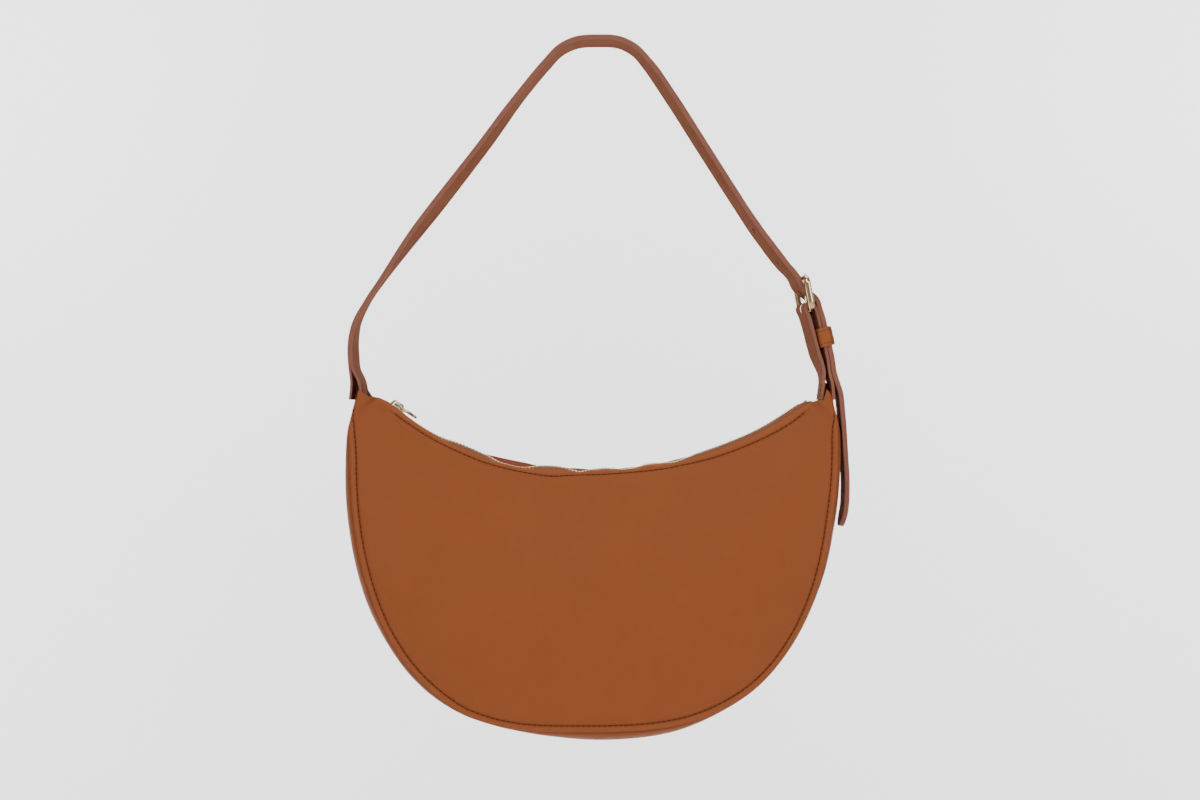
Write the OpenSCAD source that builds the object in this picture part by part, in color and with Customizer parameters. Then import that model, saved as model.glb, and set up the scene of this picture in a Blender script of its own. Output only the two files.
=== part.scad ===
// Half moon shoulder bag hanging from the seat of its strap.
// +Z is up, +X is the side of the buckle, -Y is the front.
// The origin is the underside of the strap at its top.

/* [Bag body] */
// Width between the two side seams
bag_w = 290.8; // [280:0.2:300]
// Height from the bottom seam to the tops of the tips
bag_h = 208.6; // [200:0.2:216]
// Height from the widest place to the tops of the tips
widest_below = 45; // [41:1:49]
// Height of the curve that draws the sides in above the widest place
shoulder_rise = 200; // [180:1:240]
// Fullness of the half moon outline, where 2 is an ellipse
outline_power = 2.35; // [2.2:0.05:2.6]
// Sideways place of the bag's middle
bag_x = -3.5; // [-4.5:0.1:-2.5]
// Depth of the bag at the bottom seam
bag_depth = 54; // [46:1:62]
// Depth of the two tips
tip_depth = 19.4; // [19.2:0.1:19.8]
// Outward swell of a panel's middle
crown = 4; // [2:0.5:8]
// Outward swell of the gusset at the sides
side_bulge = 4.4; // [4:0.1:5]
// Outward swell of the gusset at the bottom
bottom_bulge = 8.3; // [6:0.1:10]
// Outward swell of the gusset at the tips
tip_bulge = 0.4; // [0.2:0.1:0.5]
// Thickness of the panels' leather
panel_t = 1.6; // [1.2:0.1:1.8]
// Thickness of the gusset's leather
gusset_t = 1.4; // [1:0.1:1.5]
// Thickness of the lining cloth
lining_t = 0.5; // [0.3:0.1:0.6]
// Width of the gusset's edge that lies under a panel
flange_w = 5; // [4:0.5:8]

/* [Tips] */
// Level of the tops of the tips, below the seat
tip_drop = 207; // [180:1:260]
// Height of a tip
tip_h = 11.5; // [11:0.5:12.5]
// Width of a tip at its top
tip_w = 2.2; // [2:0.1:2.6]
// Width of a tip at its foot
tip_foot_w = 4.6; // [4:0.1:5]

/* [Mouth and zip] */
// Radius of the curved mouth
mouth_r = 220; // [200:1:260]
// Sideways distance from the foot of a tip in to the end of the mouth's curve
mouth_end_in = 9; // [8:0.5:10]
// Height of the mouth's ends above the feet of the tips
mouth_end_rise = 1.65; // [1:0.05:2]
// Width across the two panels at the mouth
mouth_w = 15; // [14:0.5:17]
// Thickness of the zip tape
tape_t = 0.6; // [0.4:0.1:0.8]
// Height of the tape that is sewn to a panel
tape_h = 9; // [7:1:12]
// Outward lean of the sewn tape over its height
tape_lean = 2.2; // [1.8:0.1:2.4]
// Distance from tooth to tooth on one tape
tooth_pitch = 2.15; // [2:0.05:2.6]
// Length of a tooth along the zip
tooth_l = 0.95; // [0.8:0.05:1]
// Height of a tooth
tooth_h = 2.6; // [2.4:0.1:2.8]
// Distance that a tooth reaches past the middle of the zip
tooth_reach = 0.9; // [0.7:0.1:1]
// Length of a tooth's two legs over the tape
tooth_leg = 1.3; // [1.1:0.1:1.4]
// Distance from the middle of the zip to the edge of a tape
tape_edge = 1.7; // [1.6:0.1:1.9]
// Extra distance that parts the rows ahead of the slider
row_part = 2.1; // [1.9:0.1:2.1]
// Distance along the zip from the mouth's end to the middle of the closed slider
slider_in = 12.7; // [12:0.1:16]

/* [Slider and pull] */
// Length of the slider
slider_l = 11; // [10:0.5:12]
// Width of the slider at its parting end
slider_w = 9.6; // [9.4:0.1:9.8]
// Thickness of the slider's two plates
plate_t = 1.2; // [1:0.1:1.4]
// Width of the diamond between the plates
diamond_w = 2; // [1.6:0.1:2]
// Length of the bridge on the top plate
bridge_l = 8.5; // [8:0.1:9]
// Distance that the bridge sits towards the closed end of the zip
bridge_back = 0.75; // [0.5:0.05:0.75]
// Thickness of the bridge
bridge_t = 1.1; // [0.9:0.1:1.2]
// Width of the bridge
bridge_w = 1.7; // [1.5:0.1:1.9]
// Radius of the pull's cross bar under the bridge
eye_bar_r = 0.7; // [0.6:0.05:0.8]
// Distance from the cross bar to the free end of the pull
pull_l = 15.5; // [14:0.5:20]
// Width of the pull's plate
pull_w = 6.4; // [5.8:0.1:8]
// Width of the pull's neck
pull_neck_w = 4.8; // [4.6:0.1:5.4]
// Thickness of the pull
pull_t = 1.5; // [1.3:0.1:1.6]
// Depth of the recess in each face of the pull
recess_d = 0.4; // [0.3:0.05:0.5]
// Width of the rim round the recess
recess_rim = 1; // [0.8:0.1:1.4]

/* [Strap] */
// Width of the strap
strap_w = 20; // [19:0.5:20]
// Thickness of each of the strap's two leather layers
layer_t = 1.5; // [1.3:0.05:1.6]
// Bevel along the strap's outer edges
edge_bevel = 0.4; // [0.2:0.05:0.5]
// Sideways distance from the widest place of the left side seam out to the strap
left_out = 0.4; // [0:0.1:1]
// Height from the tip to the end of the strap's left run
left_above = 8.5; // [8:0.1:9]
// Radius of the adjusting holes
hole_r = 2; // [1.5:0.1:2.2]
// Distance from one adjusting hole to the next
hole_pitch = 25; // [20:1:30]
// Length of the oval hole that the prong is in
prong_hole_l = 8; // [7.5:0.1:8.5]
// Height that the free tail hangs below the keeper's run
tail_fall = 94; // [80:1:110]
// Distance that the tail bows out from the bag
tail_bow = 8; // [8:0.1:10]

/* [Buckle] */
// Sideways distance from the widest place of the right side seam in to the heel bar
heel_in = 14.9; // [14.5:0.1:15.3]
// Height of the heel bar above the tops of the tips
heel_above = 44.9; // [44.5:0.1:45.3]
// Distance from the heel bar to the top bar
buckle_pitch = 19; // [18.5:0.5:20]
// Radius of the buckle's wire
bar_r = 1.85; // [1.6:0.05:1.9]
// Width inside the buckle
buckle_in_w = 23; // [22:0.5:25]
// Radius of the buckle's corners, at the middle of the wire
corner_r = 4; // [3:0.5:5]
// Angle of the buckle from upright
buckle_lean = 11; // [10:0.5:12]
// Angle that the buckle is turned towards the front
twist = 10; // [6:1:12]
// Width of the prong
prong_w = 2.6; // [2.2:0.1:2.8]
// Thickness of the prong
prong_t = 1.8; // [1.6:0.1:1.9]
// Length that the prong reaches past the top bar
prong_over = 2.5; // [2:0.1:3]
// Thickness of the short strap that holds the buckle
chape_t = 2; // [1.8:0.1:2.1]
// Length of the slot for the prong on each side of the heel bar
slot_l = 9; // [8:0.5:10]

/* [Keeper] */
// Sideways distance from the heel bar to the start of the keeper's run
run_out = 5.3; // [5.2:0.1:5.6]
// Height of the heel bar above the start of the keeper's run
run_below = 6.9; // [6.5:0.1:7.5]
// Angle of the keeper's run from upright
run_lean = 13.5; // [13:0.5:14]
// Length of the keeper's run
run_l = 33; // [32:0.5:34]
// Distance from the start of the run to the keeper
keeper_at = 10.9; // [10:0.1:12]
// Height of the keeper
keeper_h = 11.5; // [10:0.5:12]
// Thickness of the keeper
keeper_t = 1.6; // [1.3:0.1:1.7]

/* [Clearances] */
// Gap between sewn layers
seam_gap = 0.1; // [0.05:0.01:0.15]
// Gap between a strap end and the tip that it is sewn to
seat_gap = 0.3; // [0.2:0.05:0.3]
// Gap between the strap and what it lies on
lay_gap = 0.25; // [0.2:0.05:0.3]
// Running gap round the heel bar
bar_gap = 0.12; // [0.08:0.02:0.2]
// Running gap of the slider and its pull
slide_gap = 0.35; // [0.3:0.05:0.4]

/* [Hidden] */

leather = "#9a562f";
edge_paint = "#8a4a38";
gold = "#d9c08a";
cloth = "#b9a58a";
round_fn = 48;
overrun = 1;

tip_z = -tip_drop;
shoulder_z = tip_z - tip_h;
widest_z = tip_z - widest_below;
bottom_z = tip_z - bag_h;
half_w = bag_w / 2;
left_reach = half_w - bag_x + left_out;
left_fall = tip_drop - left_above;
heel_x = bag_x + half_w - heel_in;
heel_drop = tip_drop - heel_above;
strap_t = 2 * layer_t;

function mix(a, b, share) = a + (b - a) * share;
function clamp01(x) = min(1, max(0, x));
function ease(x) = let (s = clamp01(x)) s * s * (3 - 2 * s);
function unit(v) = v / norm(v);

// Outline of the half moon, from its middle line, at an angle from the bottom
function outline_at(t) = let (a = abs(t), e = 2 / outline_power, side = t < 0 ? -1 : 1)
    a <= 90
    ? [side * half_w * pow(sin(a), e), widest_z - (widest_z - bottom_z) * pow(max(0, cos(a)), e)]
    : [side * half_w * pow(cos(a - 90), e), widest_z + shoulder_rise * pow(sin(a - 90), e)];
function angle_at(z) = 90 + asin(pow((z - widest_z) / shoulder_rise, outline_power / 2));
function outline_x(z) = outline_at(angle_at(z))[0];
tip_angle = angle_at(tip_z);
shoulder_share = angle_at(shoulder_z) / tip_angle;
mouth_share = 0.935;
depth_power = 0.75;
face_power = 1.6;
bulge_power = 2;

// Depth of the bag's half at a level, and swell of the gusset there
function half_depth(z) = let (share = clamp01((tip_z - z) / (tip_z - bottom_z)))
    mix(tip_depth, bag_depth, pow(share, depth_power)) / 2;
function bulge(z) = z > widest_z
    ? mix(tip_bulge, side_bulge, ease((shoulder_z - z) / (shoulder_z - widest_z)))
    : mix(side_bulge, bottom_bulge, pow((widest_z - z) / (widest_z - bottom_z), bulge_power));

// Top edge of a panel, at a share from -1 at one tip to 1 at the other
function tip_inner_x(z) = outline_x(z) - mix(tip_foot_w, tip_w, (z - shoulder_z) / (tip_z - shoulder_z));
mouth_angle = asin((tip_inner_x(shoulder_z) - mouth_end_in) / mouth_r);
mouth_z = shoulder_z + mouth_end_rise + mouth_r * cos(mouth_angle);
function mouth_point(angle) = [mouth_r * sin(angle), mouth_z - mouth_r * cos(angle)];
function top_edge(u) = let (a = abs(u), side = u < 0 ? -1 : 1, foot = [tip_inner_x(shoulder_z), shoulder_z])
    a <= mouth_share ? mouth_point(mouth_angle * u / mouth_share)
    : a <= shoulder_share
    ? let (p = mix(mouth_point(mouth_angle), foot, (a - mouth_share) / (shoulder_share - mouth_share)))
        [side * p[0], p[1]]
    : let (z = mix(shoulder_z, tip_z, (a - shoulder_share) / (1 - shoulder_share)))
        [side * tip_inner_x(z), z];
function top_half_depth(u) = let (share = (abs(u) - mouth_share) / (shoulder_share - mouth_share))
    mix(mouth_w, tip_depth, ease(share)) / 2;

// A panel's face at shares across and down, moved in from its outer face
function panel_point(u, v, inset) = let (
        top = top_edge(u),
        seam = outline_at(u * tip_angle),
        p = mix(top, seam, v),
        swell = crown * sin(180 * v) * norm(seam - top) / (widest_z - bottom_z),
        y = mix(top_half_depth(u), half_depth(seam[1]), 1 - pow(1 - v, face_power)) + swell)
    [bag_x + p[0], inset - y, p[1]];

panel_columns = 44;
panel_rows = 10;
column_shares = concat(
    [-1, -mix(shoulder_share, 1, 0.5), -shoulder_share, -mix(mouth_share, shoulder_share, 0.5)],
    [for (i = [0:panel_columns]) mouth_share * (2 * i / panel_columns - 1)],
    [mix(mouth_share, shoulder_share, 0.5), shoulder_share, mix(shoulder_share, 1, 0.5), 1]);

// Closed sheet between two grids of points with as many rows and columns
module sheet(outer, inner) {
    columns = len(outer);
    rows = len(outer[0]);
    count = columns * rows;
    function at(i, j, side) = side * count + i * rows + j;
    function quad(a, b, c, d) = [[c, b, a], [d, c, a]];
    faces = concat(
        [for (i = [0:columns - 2], j = [0:rows - 2])
            each quad(at(i, j, 0), at(i, j + 1, 0), at(i + 1, j + 1, 0), at(i + 1, j, 0))],
        [for (i = [0:columns - 2], j = [0:rows - 2])
            each quad(at(i, j, 1), at(i + 1, j, 1), at(i + 1, j + 1, 1), at(i, j + 1, 1))],
        [for (i = [0:columns - 2])
            each quad(at(i, 0, 0), at(i + 1, 0, 0), at(i + 1, 0, 1), at(i, 0, 1))],
        [for (i = [0:columns - 2])
            let (end = rows - 1)
            each quad(at(i, end, 0), at(i, end, 1), at(i + 1, end, 1), at(i + 1, end, 0))],
        [for (j = [0:rows - 2])
            each quad(at(0, j, 0), at(0, j, 1), at(0, j + 1, 1), at(0, j + 1, 0))],
        [for (j = [0:rows - 2])
            let (end = columns - 1)
            each quad(at(end, j, 0), at(end, j + 1, 0), at(end, j + 1, 1), at(end, j, 1))]);
    polyhedron(concat([for (c = outer) each c], [for (c = inner) each c]), faces);
}

// Closed tube through rings of points, where each point's partner across the ring is as far from its end.
// The flat pieces of a twisted face meet along one diagonal of each step, or the other
module swept(rings, other_diagonal = false) {
    count = len(rings[0]);
    last = len(rings) - 1;
    faces = concat(
        [for (k = [0:count / 2 - 2]) let (m = count - 1 - k) each [[k, k + 1, m - 1], [k, m - 1, m]]],
        [for (k = [0:count / 2 - 2]) let (a = last * count, m = count - 1 - k)
            each [[a + k, a + m - 1, a + k + 1], [a + k, a + m, a + m - 1]]],
        [for (i = [0:last - 1], k = [0:count - 1]) let (n = (k + 1) % count)
            let (a = i * count + k, b = (i + 1) * count + k, c = (i + 1) * count + n, d = i * count + n)
            each other_diagonal ? [[a, b, d], [b, c, d]] : [[a, b, c], [a, c, d]]]);
    polyhedron([for (r = rings) each r], faces);
}

module panel() {
    sheet(
        [for (u = column_shares) [for (j = [0:panel_rows]) panel_point(u, j / panel_rows, 0)]],
        [for (u = column_shares) [for (j = [0:panel_rows]) panel_point(u, j / panel_rows, panel_t)]]);
}

module front_panel() color(leather) panel();

module back_panel() color(leather) mirror([0, 1, 0]) panel();

// Gusset: a band swept along the outline, with an edge under each panel
band_steps = 10;
flange_share = 1 / 6;

function seam_normal(t) = let (step = 0.2,
        a = outline_at(max(-tip_angle, t - step)), b = outline_at(min(tip_angle, t + step)), d = unit(b - a))
    [d[1], -d[0]];

function band_ring(t, half, swell, edge, wall) = let (
        p = outline_at(t),
        n = seam_normal(t),
        arc = [for (i = [0:band_steps]) 180 * i / band_steps],
        outer = [for (a = arc) [swell * sin(a), -half * cos(a)]],
        inner = [for (a = arc) [(swell - wall) * sin(a), -(half - wall) * cos(a)]],
        round = concat(
            edge > 0 ? [[-edge, -half]] : [], outer, edge > 0 ? [[-edge, half], [-edge, half - wall]] : [],
            [for (i = [band_steps:-1:0]) inner[i]], edge > 0 ? [[-edge, wall - half]] : []))
    [for (q = round) [bag_x + p[0] + n[0] * q[0], q[1], p[1] + n[1] * q[0]]];

function edge_width(t) = min(flange_w, flange_share * norm(top_edge(t / tip_angle) - outline_at(t)));

module gusset() color(leather) swept([for (u = column_shares)
    let (t = tip_angle * u, z = outline_at(t)[1])
    band_ring(t, half_depth(z) - panel_t - seam_gap, bulge(z), edge_width(t), gusset_t)]);

// Lining: two panels that hang from the tapes' lower edges, and a band, loose inside the leather
flange_room = crown * sin(180 * flange_w / (widest_z - bottom_z));
lining_top_inset = panel_t + 2 * seam_gap;
lining_seam_inset = panel_t + gusset_t + 2 * seam_gap + 2 * seat_gap + flange_room;
lining_edge_share = 0.97;
lining_end_share = 0.9;
lining_settle_share = 0.5;
lining_rows = 6;
lining_shares = [for (u = column_shares) if (abs(u) < lining_end_share) u];

function lining_inset(v) = mix(lining_top_inset, lining_seam_inset, clamp01(v / lining_settle_share));

module lining_panel() {
    function face(more) = [for (u = lining_shares)
        let (from = (tape_h + seat_gap) / norm(outline_at(u * tip_angle) - top_edge(u)))
        [for (j = [0:lining_rows]) let (v = mix(from, lining_edge_share, j / lining_rows))
            panel_point(u, v, more + lining_inset(v))]];
    sheet(face(0), face(lining_t));
}

module lining_front() color(cloth) lining_panel();

module lining_back() color(cloth) mirror([0, 1, 0]) lining_panel();

module lining_gusset() color(cloth) swept([for (u = lining_shares)
    let (t = tip_angle * u, z = outline_at(t)[1])
    let (half = half_depth(z) - lining_seam_inset - lining_t - seam_gap)
    band_ring(t, half, bulge(z) - gusset_t - seat_gap, 0, lining_t)]);

// Zip: everything on it is turned about the centre of the mouth's curve
chain_r = mouth_r + tape_t / 2;
row_half_h = tooth_h / 2;
plate_in = row_half_h + slide_gap;
end_lap_angle = 0.3;
end_angle = mouth_angle + end_lap_angle;
ring_fn = 360;
tape_y = mouth_w / 2 - panel_t - seam_gap;
function angle_along(length) = length / chain_r * 180 / PI;
pitch_angle = angle_along(tooth_pitch);
slider_angle = angle_along(slider_in) - mouth_angle;
top_stop_angle = slider_angle - angle_along(slider_l / 2) - pitch_angle;
bottom_stop_angle = mouth_angle - pitch_angle;
first_tooth = top_stop_angle + 3 * pitch_angle / 4;
parted_teeth = 2;
part_angle = first_tooth + parted_teeth * pitch_angle - pitch_angle / 4;

module on_mouth(angle) {
    translate([bag_x, 0, mouth_z]) rotate([0, -angle, 0]) translate([0, 0, -chain_r]) children();
}

// Part of a ring about the mouth's centre, from one angle to another, of a profile in radius and depth
module mouth_ring(from, to) {
    translate([bag_x, 0, mouth_z]) rotate([0, 90 - from, 0]) rotate([90, 0, 0])
        rotate_extrude(angle = to - from, $fn = ring_fn) children();
}

module tape_profile(edge) {
    inner_r = chain_r - tape_t / 2;
    polygon([
        [inner_r, edge], [inner_r, tape_y],
        [inner_r + tape_h, tape_y + tape_lean], [inner_r + tape_h, tape_y + tape_lean - tape_t],
        [inner_r + tape_t, tape_y - tape_t], [inner_r + tape_t, edge]]);
}

module tape() color(edge_paint) difference() {
    mouth_ring(-end_angle, end_angle) tape_profile(tape_edge);
    mouth_ring(-end_angle - pitch_angle, part_angle) translate([chain_r - tape_t, 0])
        square([2 * tape_t, tape_edge + row_part]);
}

module zip_tape_front() tape();

module zip_tape_back() mirror([0, 1, 0]) tape();

// Tooth or stop seen along the zip: a head up to a reach past the middle, and two legs over the tape's edge
leg_in = tape_t / 2 + seam_gap;

module clip(length, reach, moved) {
    translate([-length / 2, -moved, 0]) rotate([90, 0, 90]) linear_extrude(length) polygon([
        [reach, -row_half_h], [reach, row_half_h],
        [-tape_edge - tooth_leg, row_half_h], [-tape_edge - tooth_leg, leg_in],
        [-tape_edge + seam_gap, leg_in], [-tape_edge + seam_gap, -leg_in],
        [-tape_edge - tooth_leg, -leg_in], [-tape_edge - tooth_leg, -row_half_h]]);
}

tooth_count = floor((bottom_stop_angle - first_tooth) / pitch_angle - 1 / 2);

module tooth_row(shift) color(gold)
    for (i = [0:tooth_count - 1]) let (angle = first_tooth + (i + shift) * pitch_angle)
        on_mouth(angle) clip(tooth_l, tooth_reach, angle < part_angle ? row_part : 0);

module zip_teeth_front() tooth_row(0);

module zip_teeth_back() mirror([0, 1, 0]) tooth_row(1 / 2);

stop_l = 4 / 3 * tooth_l;

module zip_top_stops() color(gold) on_mouth(top_stop_angle) for (side = [-1, 1])
    scale([1, side, 1]) clip(stop_l, tooth_leg / 2 - tape_edge, row_part);

module zip_bottom_stop() color(gold) on_mouth(bottom_stop_angle) difference() {
    cube([2 * stop_l, 2 * (tape_edge + tooth_leg), tooth_h], center = true);
    for (side = [-1, 1]) translate([0, side * (tape_edge - seam_gap + overrun + tooth_leg), 0])
        cube([2 * stop_l + overrun, 2 * (tooth_leg + overrun), 2 * leg_in], center = true);
}

// Slider: two plates, a diamond, side walls and a bridge
slider_wall = 0.85;
slider_tail_w = 2 * (tape_edge + tooth_leg + slide_gap + slider_wall);
taper_x = -slider_l / 8;
diamond_l = 2;
diamond_x = -slider_l / 2 + slider_wall + diamond_l / 2;
bridge_h = plate_in + plate_t + 2 * eye_bar_r + 2 * slide_gap + bridge_t;
eye_x = 2 * bridge_t + slide_gap + eye_bar_r - bridge_l / 2 - bridge_back;
eye_z = plate_in + plate_t + slide_gap + eye_bar_r;

// Plan of a plate: wide at the parting end, narrow at the joining end, round at both
module plate_plan() {
    intersection() {
        polygon([
            [-slider_l / 2, -slider_w / 2], [taper_x, -slider_w / 2], [slider_l / 2, -slider_tail_w / 2],
            [slider_l / 2, slider_tail_w / 2], [taper_x, slider_w / 2], [-slider_l / 2, slider_w / 2]]);
        circle(r = slider_l / 2, $fn = round_fn);
    }
}

module zip_slider() color(gold) on_mouth(slider_angle) {
    for (z = [plate_in, -plate_in - plate_t]) translate([0, 0, z]) linear_extrude(plate_t) plate_plan();
    for (side = [-1, 1], end = [-1, 1]) scale([1, side, end])
        translate([0, 0, tape_t / 2 + slide_gap]) linear_extrude(plate_in - tape_t / 2 - slide_gap)
            intersection() {
                plate_plan();
                polygon([
                    [taper_x, slider_w / 2 - slider_wall], [slider_l / 2, slider_tail_w / 2 - slider_wall],
                    [slider_l / 2, slider_w], [taper_x, slider_w]]);
            }
    translate([0, 0, -plate_in]) linear_extrude(2 * plate_in) polygon([
        [diamond_x - diamond_l / 2, 0], [diamond_x, -diamond_w / 2],
        [diamond_x + diamond_l / 2, 0], [diamond_x, diamond_w / 2]]);
    translate([-bridge_back, 0, 0]) rotate([90, 0, 0]) translate([0, 0, -bridge_w / 2])
        linear_extrude(bridge_w) difference() {
        polygon([
            [-bridge_l / 2, plate_in], [-bridge_l / 2 + bridge_t, bridge_h],
            [bridge_l / 2 - bridge_t / 2, bridge_h], [bridge_l / 2, bridge_h - bridge_t / 2],
            [bridge_l / 2, plate_in]]);
        polygon([
            [-bridge_l / 2 + 3 * bridge_t / 2, plate_in + plate_t],
            [-bridge_l / 2 + 2 * bridge_t, bridge_h - bridge_t],
            [bridge_l / 2 - bridge_t, bridge_h - bridge_t], [bridge_l / 2 - bridge_t, plate_in + plate_t]]);
    }
}

// Pull: a fork on each side of the bridge with a cross bar under it, and a plate with a plain recess
fork_in = bridge_w / 2 + slide_gap;
fork_arm = (pull_neck_w - 2 * fork_in) / 2;
fork_l = bridge_l / 2 - bridge_back - eye_x + 2 * slide_gap;
plate_from = fork_l + recess_rim;

module pull_plan() {
    difference() {
        union() {
            translate([0, -pull_neck_w / 2]) square([plate_from, pull_neck_w]);
            translate([plate_from, -pull_w / 2]) square([pull_l - plate_from - pull_w / 2, pull_w]);
            translate([pull_l - pull_w / 2, 0]) circle(d = pull_w, $fn = round_fn);
        }
        translate([-overrun, -fork_in]) square([fork_l + overrun, 2 * fork_in]);
    }
}

module recess_plan() {
    translate([plate_from + recess_rim, -pull_w / 2 + recess_rim])
        square([pull_l - plate_from - pull_w / 2 - recess_rim, pull_w - 2 * recess_rim]);
    translate([pull_l - pull_w / 2, 0]) circle(d = pull_w - 2 * recess_rim, $fn = round_fn);
}

module zip_pull() color(gold) on_mouth(slider_angle) translate([eye_x, 0, eye_z]) {
    difference() {
        translate([0, 0, -pull_t / 2]) linear_extrude(pull_t) pull_plan();
        for (side = [-1, 1]) translate([0, 0, side * (pull_t / 2 - recess_d / 2 + overrun / 2)])
            translate([0, 0, -(recess_d + overrun) / 2]) linear_extrude(recess_d + overrun) recess_plan();
    }
    rotate([90, 0, 0]) translate([0, 0, -pull_neck_w / 2])
        cylinder(r = eye_bar_r, h = pull_neck_w, $fn = round_fn);
    for (side = [-1, 1]) translate([0, side * (fork_in + fork_arm / 2), 0]) rotate([90, 0, 0])
        translate([0, 0, -fork_arm / 2]) cylinder(r = pull_t / 2, h = fork_arm, $fn = round_fn);
}

// Routes of the leather strips, as points across and up in the plane of the bag
heel = [heel_x, -heel_drop];
along = [-sin(buckle_lean), cos(buckle_lean)];
outward = [cos(buckle_lean), sin(buckle_lean)];
function by_buckle(u, v) = heel + u * along + v * outward;

fold_r = bar_r + bar_gap + chape_t / 2;
lane_in = bar_r + lay_gap + strap_t / 2;
lane_out = bar_r + bar_gap + chape_t + lay_gap + strap_t / 2;

// Places on the strap's runs, as shares of the reach and fall of each run
left_run_shares = [
    [0.09, 0.006], [0.154, 0.029], [0.208, 0.071], [0.317, 0.17], [0.462, 0.318], [0.615, 0.467],
    [0.768, 0.615], [0.874, 0.727], [0.94, 0.8], [0.988, 0.874], [1, 0.939], [0.997, 0.99], [0.996, 1]];
right_run_shares = [
    [0.113, 0.008], [0.188, 0.04], [0.251, 0.097], [0.367, 0.233], [0.525, 0.436], [0.683, 0.639],
    [0.847, 0.843], [0.93, 0.933]];
// Places on the way through the buckle, as shares of its pitch and of the way from inner to outer lane
cross_shares = [
    [0.97, 0], [0.81, 0.06], [0.64, 0.24], [0.48, 0.52], [0.33, 0.81], [0.13, 0.98], [-0.04, 1]];
// Places on the free tail, as shares of its bow and fall
tail_shares = [
    [0.25, 0.065], [0.5, 0.13], [0.68, 0.26], [0.89, 0.52], [1.01, 0.755], [0.91, 0.894], [0.64, 1]];
// Places on the keeper's run that hold it straight, as shares of its length
run_shares = [0, 0.1, 0.5, 0.9, 1];
// Places on the inner leg of the short strap, as shares of the way from the fold to the tip
inner_leg_shares = [
    [0.104, 0.063], [0.368, 0.293], [0.544, 0.481], [0.688, 0.616], [0.88, 0.752], [1, 0.856]];

seat_top = [0, strap_t / 2];
cross_points = [for (s = cross_shares) by_buckle(s[0] * buckle_pitch, mix(-lane_in, lane_out, s[1]))];
run_way = [sin(run_lean), -cos(run_lean)];
run_side = [cos(run_lean), sin(run_lean)];
run_start = heel + [run_out, -run_below];
run_end = run_start + run_way * run_l;
over_run = run_side * (chape_t / 2 + lay_gap + strap_t / 2);

left_run = [for (i = [len(left_run_shares) - 1:-1:0])
    seat_top - [left_run_shares[i][0] * left_reach, left_run_shares[i][1] * left_fall]];
right_end = cross_points[0] - seat_top;
right_run = [for (s = right_run_shares) seat_top + [s[0] * right_end[0], s[1] * right_end[1]]];
tail_run = [for (s = tail_shares) run_end + over_run + [s[0] * tail_bow, -s[1] * tail_fall]];
run_points = [for (s = run_shares) mix(run_start, run_end, s)];
strap_route = concat(
    left_run, [seat_top], right_run, cross_points, [for (p = run_points) p + over_run], tail_run);

// Ends of the strips against the tips, for a strip of a given thickness
leg_end_drop = 1;
leg_top_z = tip_z - seat_gap;
leg_foot_z = shoulder_z + leg_end_drop;
function outer_leg(z, t) = outline_x(z) + tip_bulge + seat_gap + t / 2;
function inner_leg(z, t) = tip_inner_x(z) - seat_gap - t / 2;
layer_shift = layer_t / 2;

outer_route = concat(
    [[bag_x - outer_leg(leg_foot_z, layer_t) + layer_shift, leg_foot_z],
     [bag_x - outer_leg(leg_top_z, layer_t) + layer_shift, leg_top_z]], strap_route);
inner_route = concat(
    [[bag_x - inner_leg(leg_foot_z, layer_t) - layer_shift, leg_foot_z],
     [bag_x - inner_leg(leg_top_z, layer_t) - layer_shift, leg_top_z]], strap_route);

fold_points = [for (a = [-90:20:90]) by_buckle(fold_r * cos(a), fold_r * sin(a))];
inner_top = [bag_x + inner_leg(leg_top_z, chape_t), leg_top_z];
chape_route = concat(
    [[bag_x + inner_leg(leg_foot_z, chape_t), leg_foot_z], inner_top],
    [for (i = [len(inner_leg_shares) - 1:-1:0])
        let (s = inner_leg_shares[i], way = inner_top - fold_points[0])
        fold_points[0] + [s[0] * way[0], s[1] * way[1]]],
    fold_points, run_points,
    [[bag_x + outer_leg(leg_top_z, chape_t), leg_top_z],
     [bag_x + outer_leg(leg_foot_z, chape_t), leg_foot_z]]);

// Smooth curve through a route's points, with its direction at each weighted by the spans beside it
function route_way(p, i) = let (last = len(p) - 1)
    i == 0 ? unit(p[1] - p[0]) : i == last ? unit(p[last] - p[last - 1])
    : let (a = p[i] - p[i - 1], b = p[i + 1] - p[i])
        (unit(a) * norm(b) + unit(b) * norm(a)) / (norm(a) + norm(b));
function span_point(p, i, s) = let (
        l = norm(p[i + 1] - p[i]), a = route_way(p, i) * l, b = route_way(p, i + 1) * l)
    p[i] * (2 * s * s * s - 3 * s * s + 1) + a * (s * s * s - 2 * s * s + s)
    + p[i + 1] * (3 * s * s - 2 * s * s * s) + b * (s * s * s - s * s);
half_shares = [0, 1 / 2];
round_end_shares = [0, 0.35, 0.6, 0.8, 0.92];
function smooth(p, last_shares) = concat(
    [for (i = [0:len(p) - 2])
        each [for (s = i == len(p) - 2 ? last_shares : half_shares) span_point(p, i, s)]],
    [p[len(p) - 1]]);

// Turn of a strip at a level: full at the buckle, none at the seat and at the tips
twist_from_share = 0.7;
twist_full_share = 0.96;
untwist_share = 0.7;
twist_from = -(heel_drop - buckle_pitch) * twist_from_share;
twist_full = -(heel_drop - buckle_pitch) * twist_full_share;
untwist_from = mix(run_start[1], run_end[1], untwist_share);
untwist_full = leg_top_z;
function turn_at(p) = p[0] < 0 ? 0 : twist * ease((p[1] - twist_from) / (twist_full - twist_from))
    * (1 - ease((p[1] - untwist_from) / (untwist_full - untwist_from)));
function place(p) = let (a = turn_at(p), x = p[0] - heel_x)
    p[0] < 0 ? [p[0], 0, p[1]] : [heel_x + x * cos(a), x * sin(a), p[1]];

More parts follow.
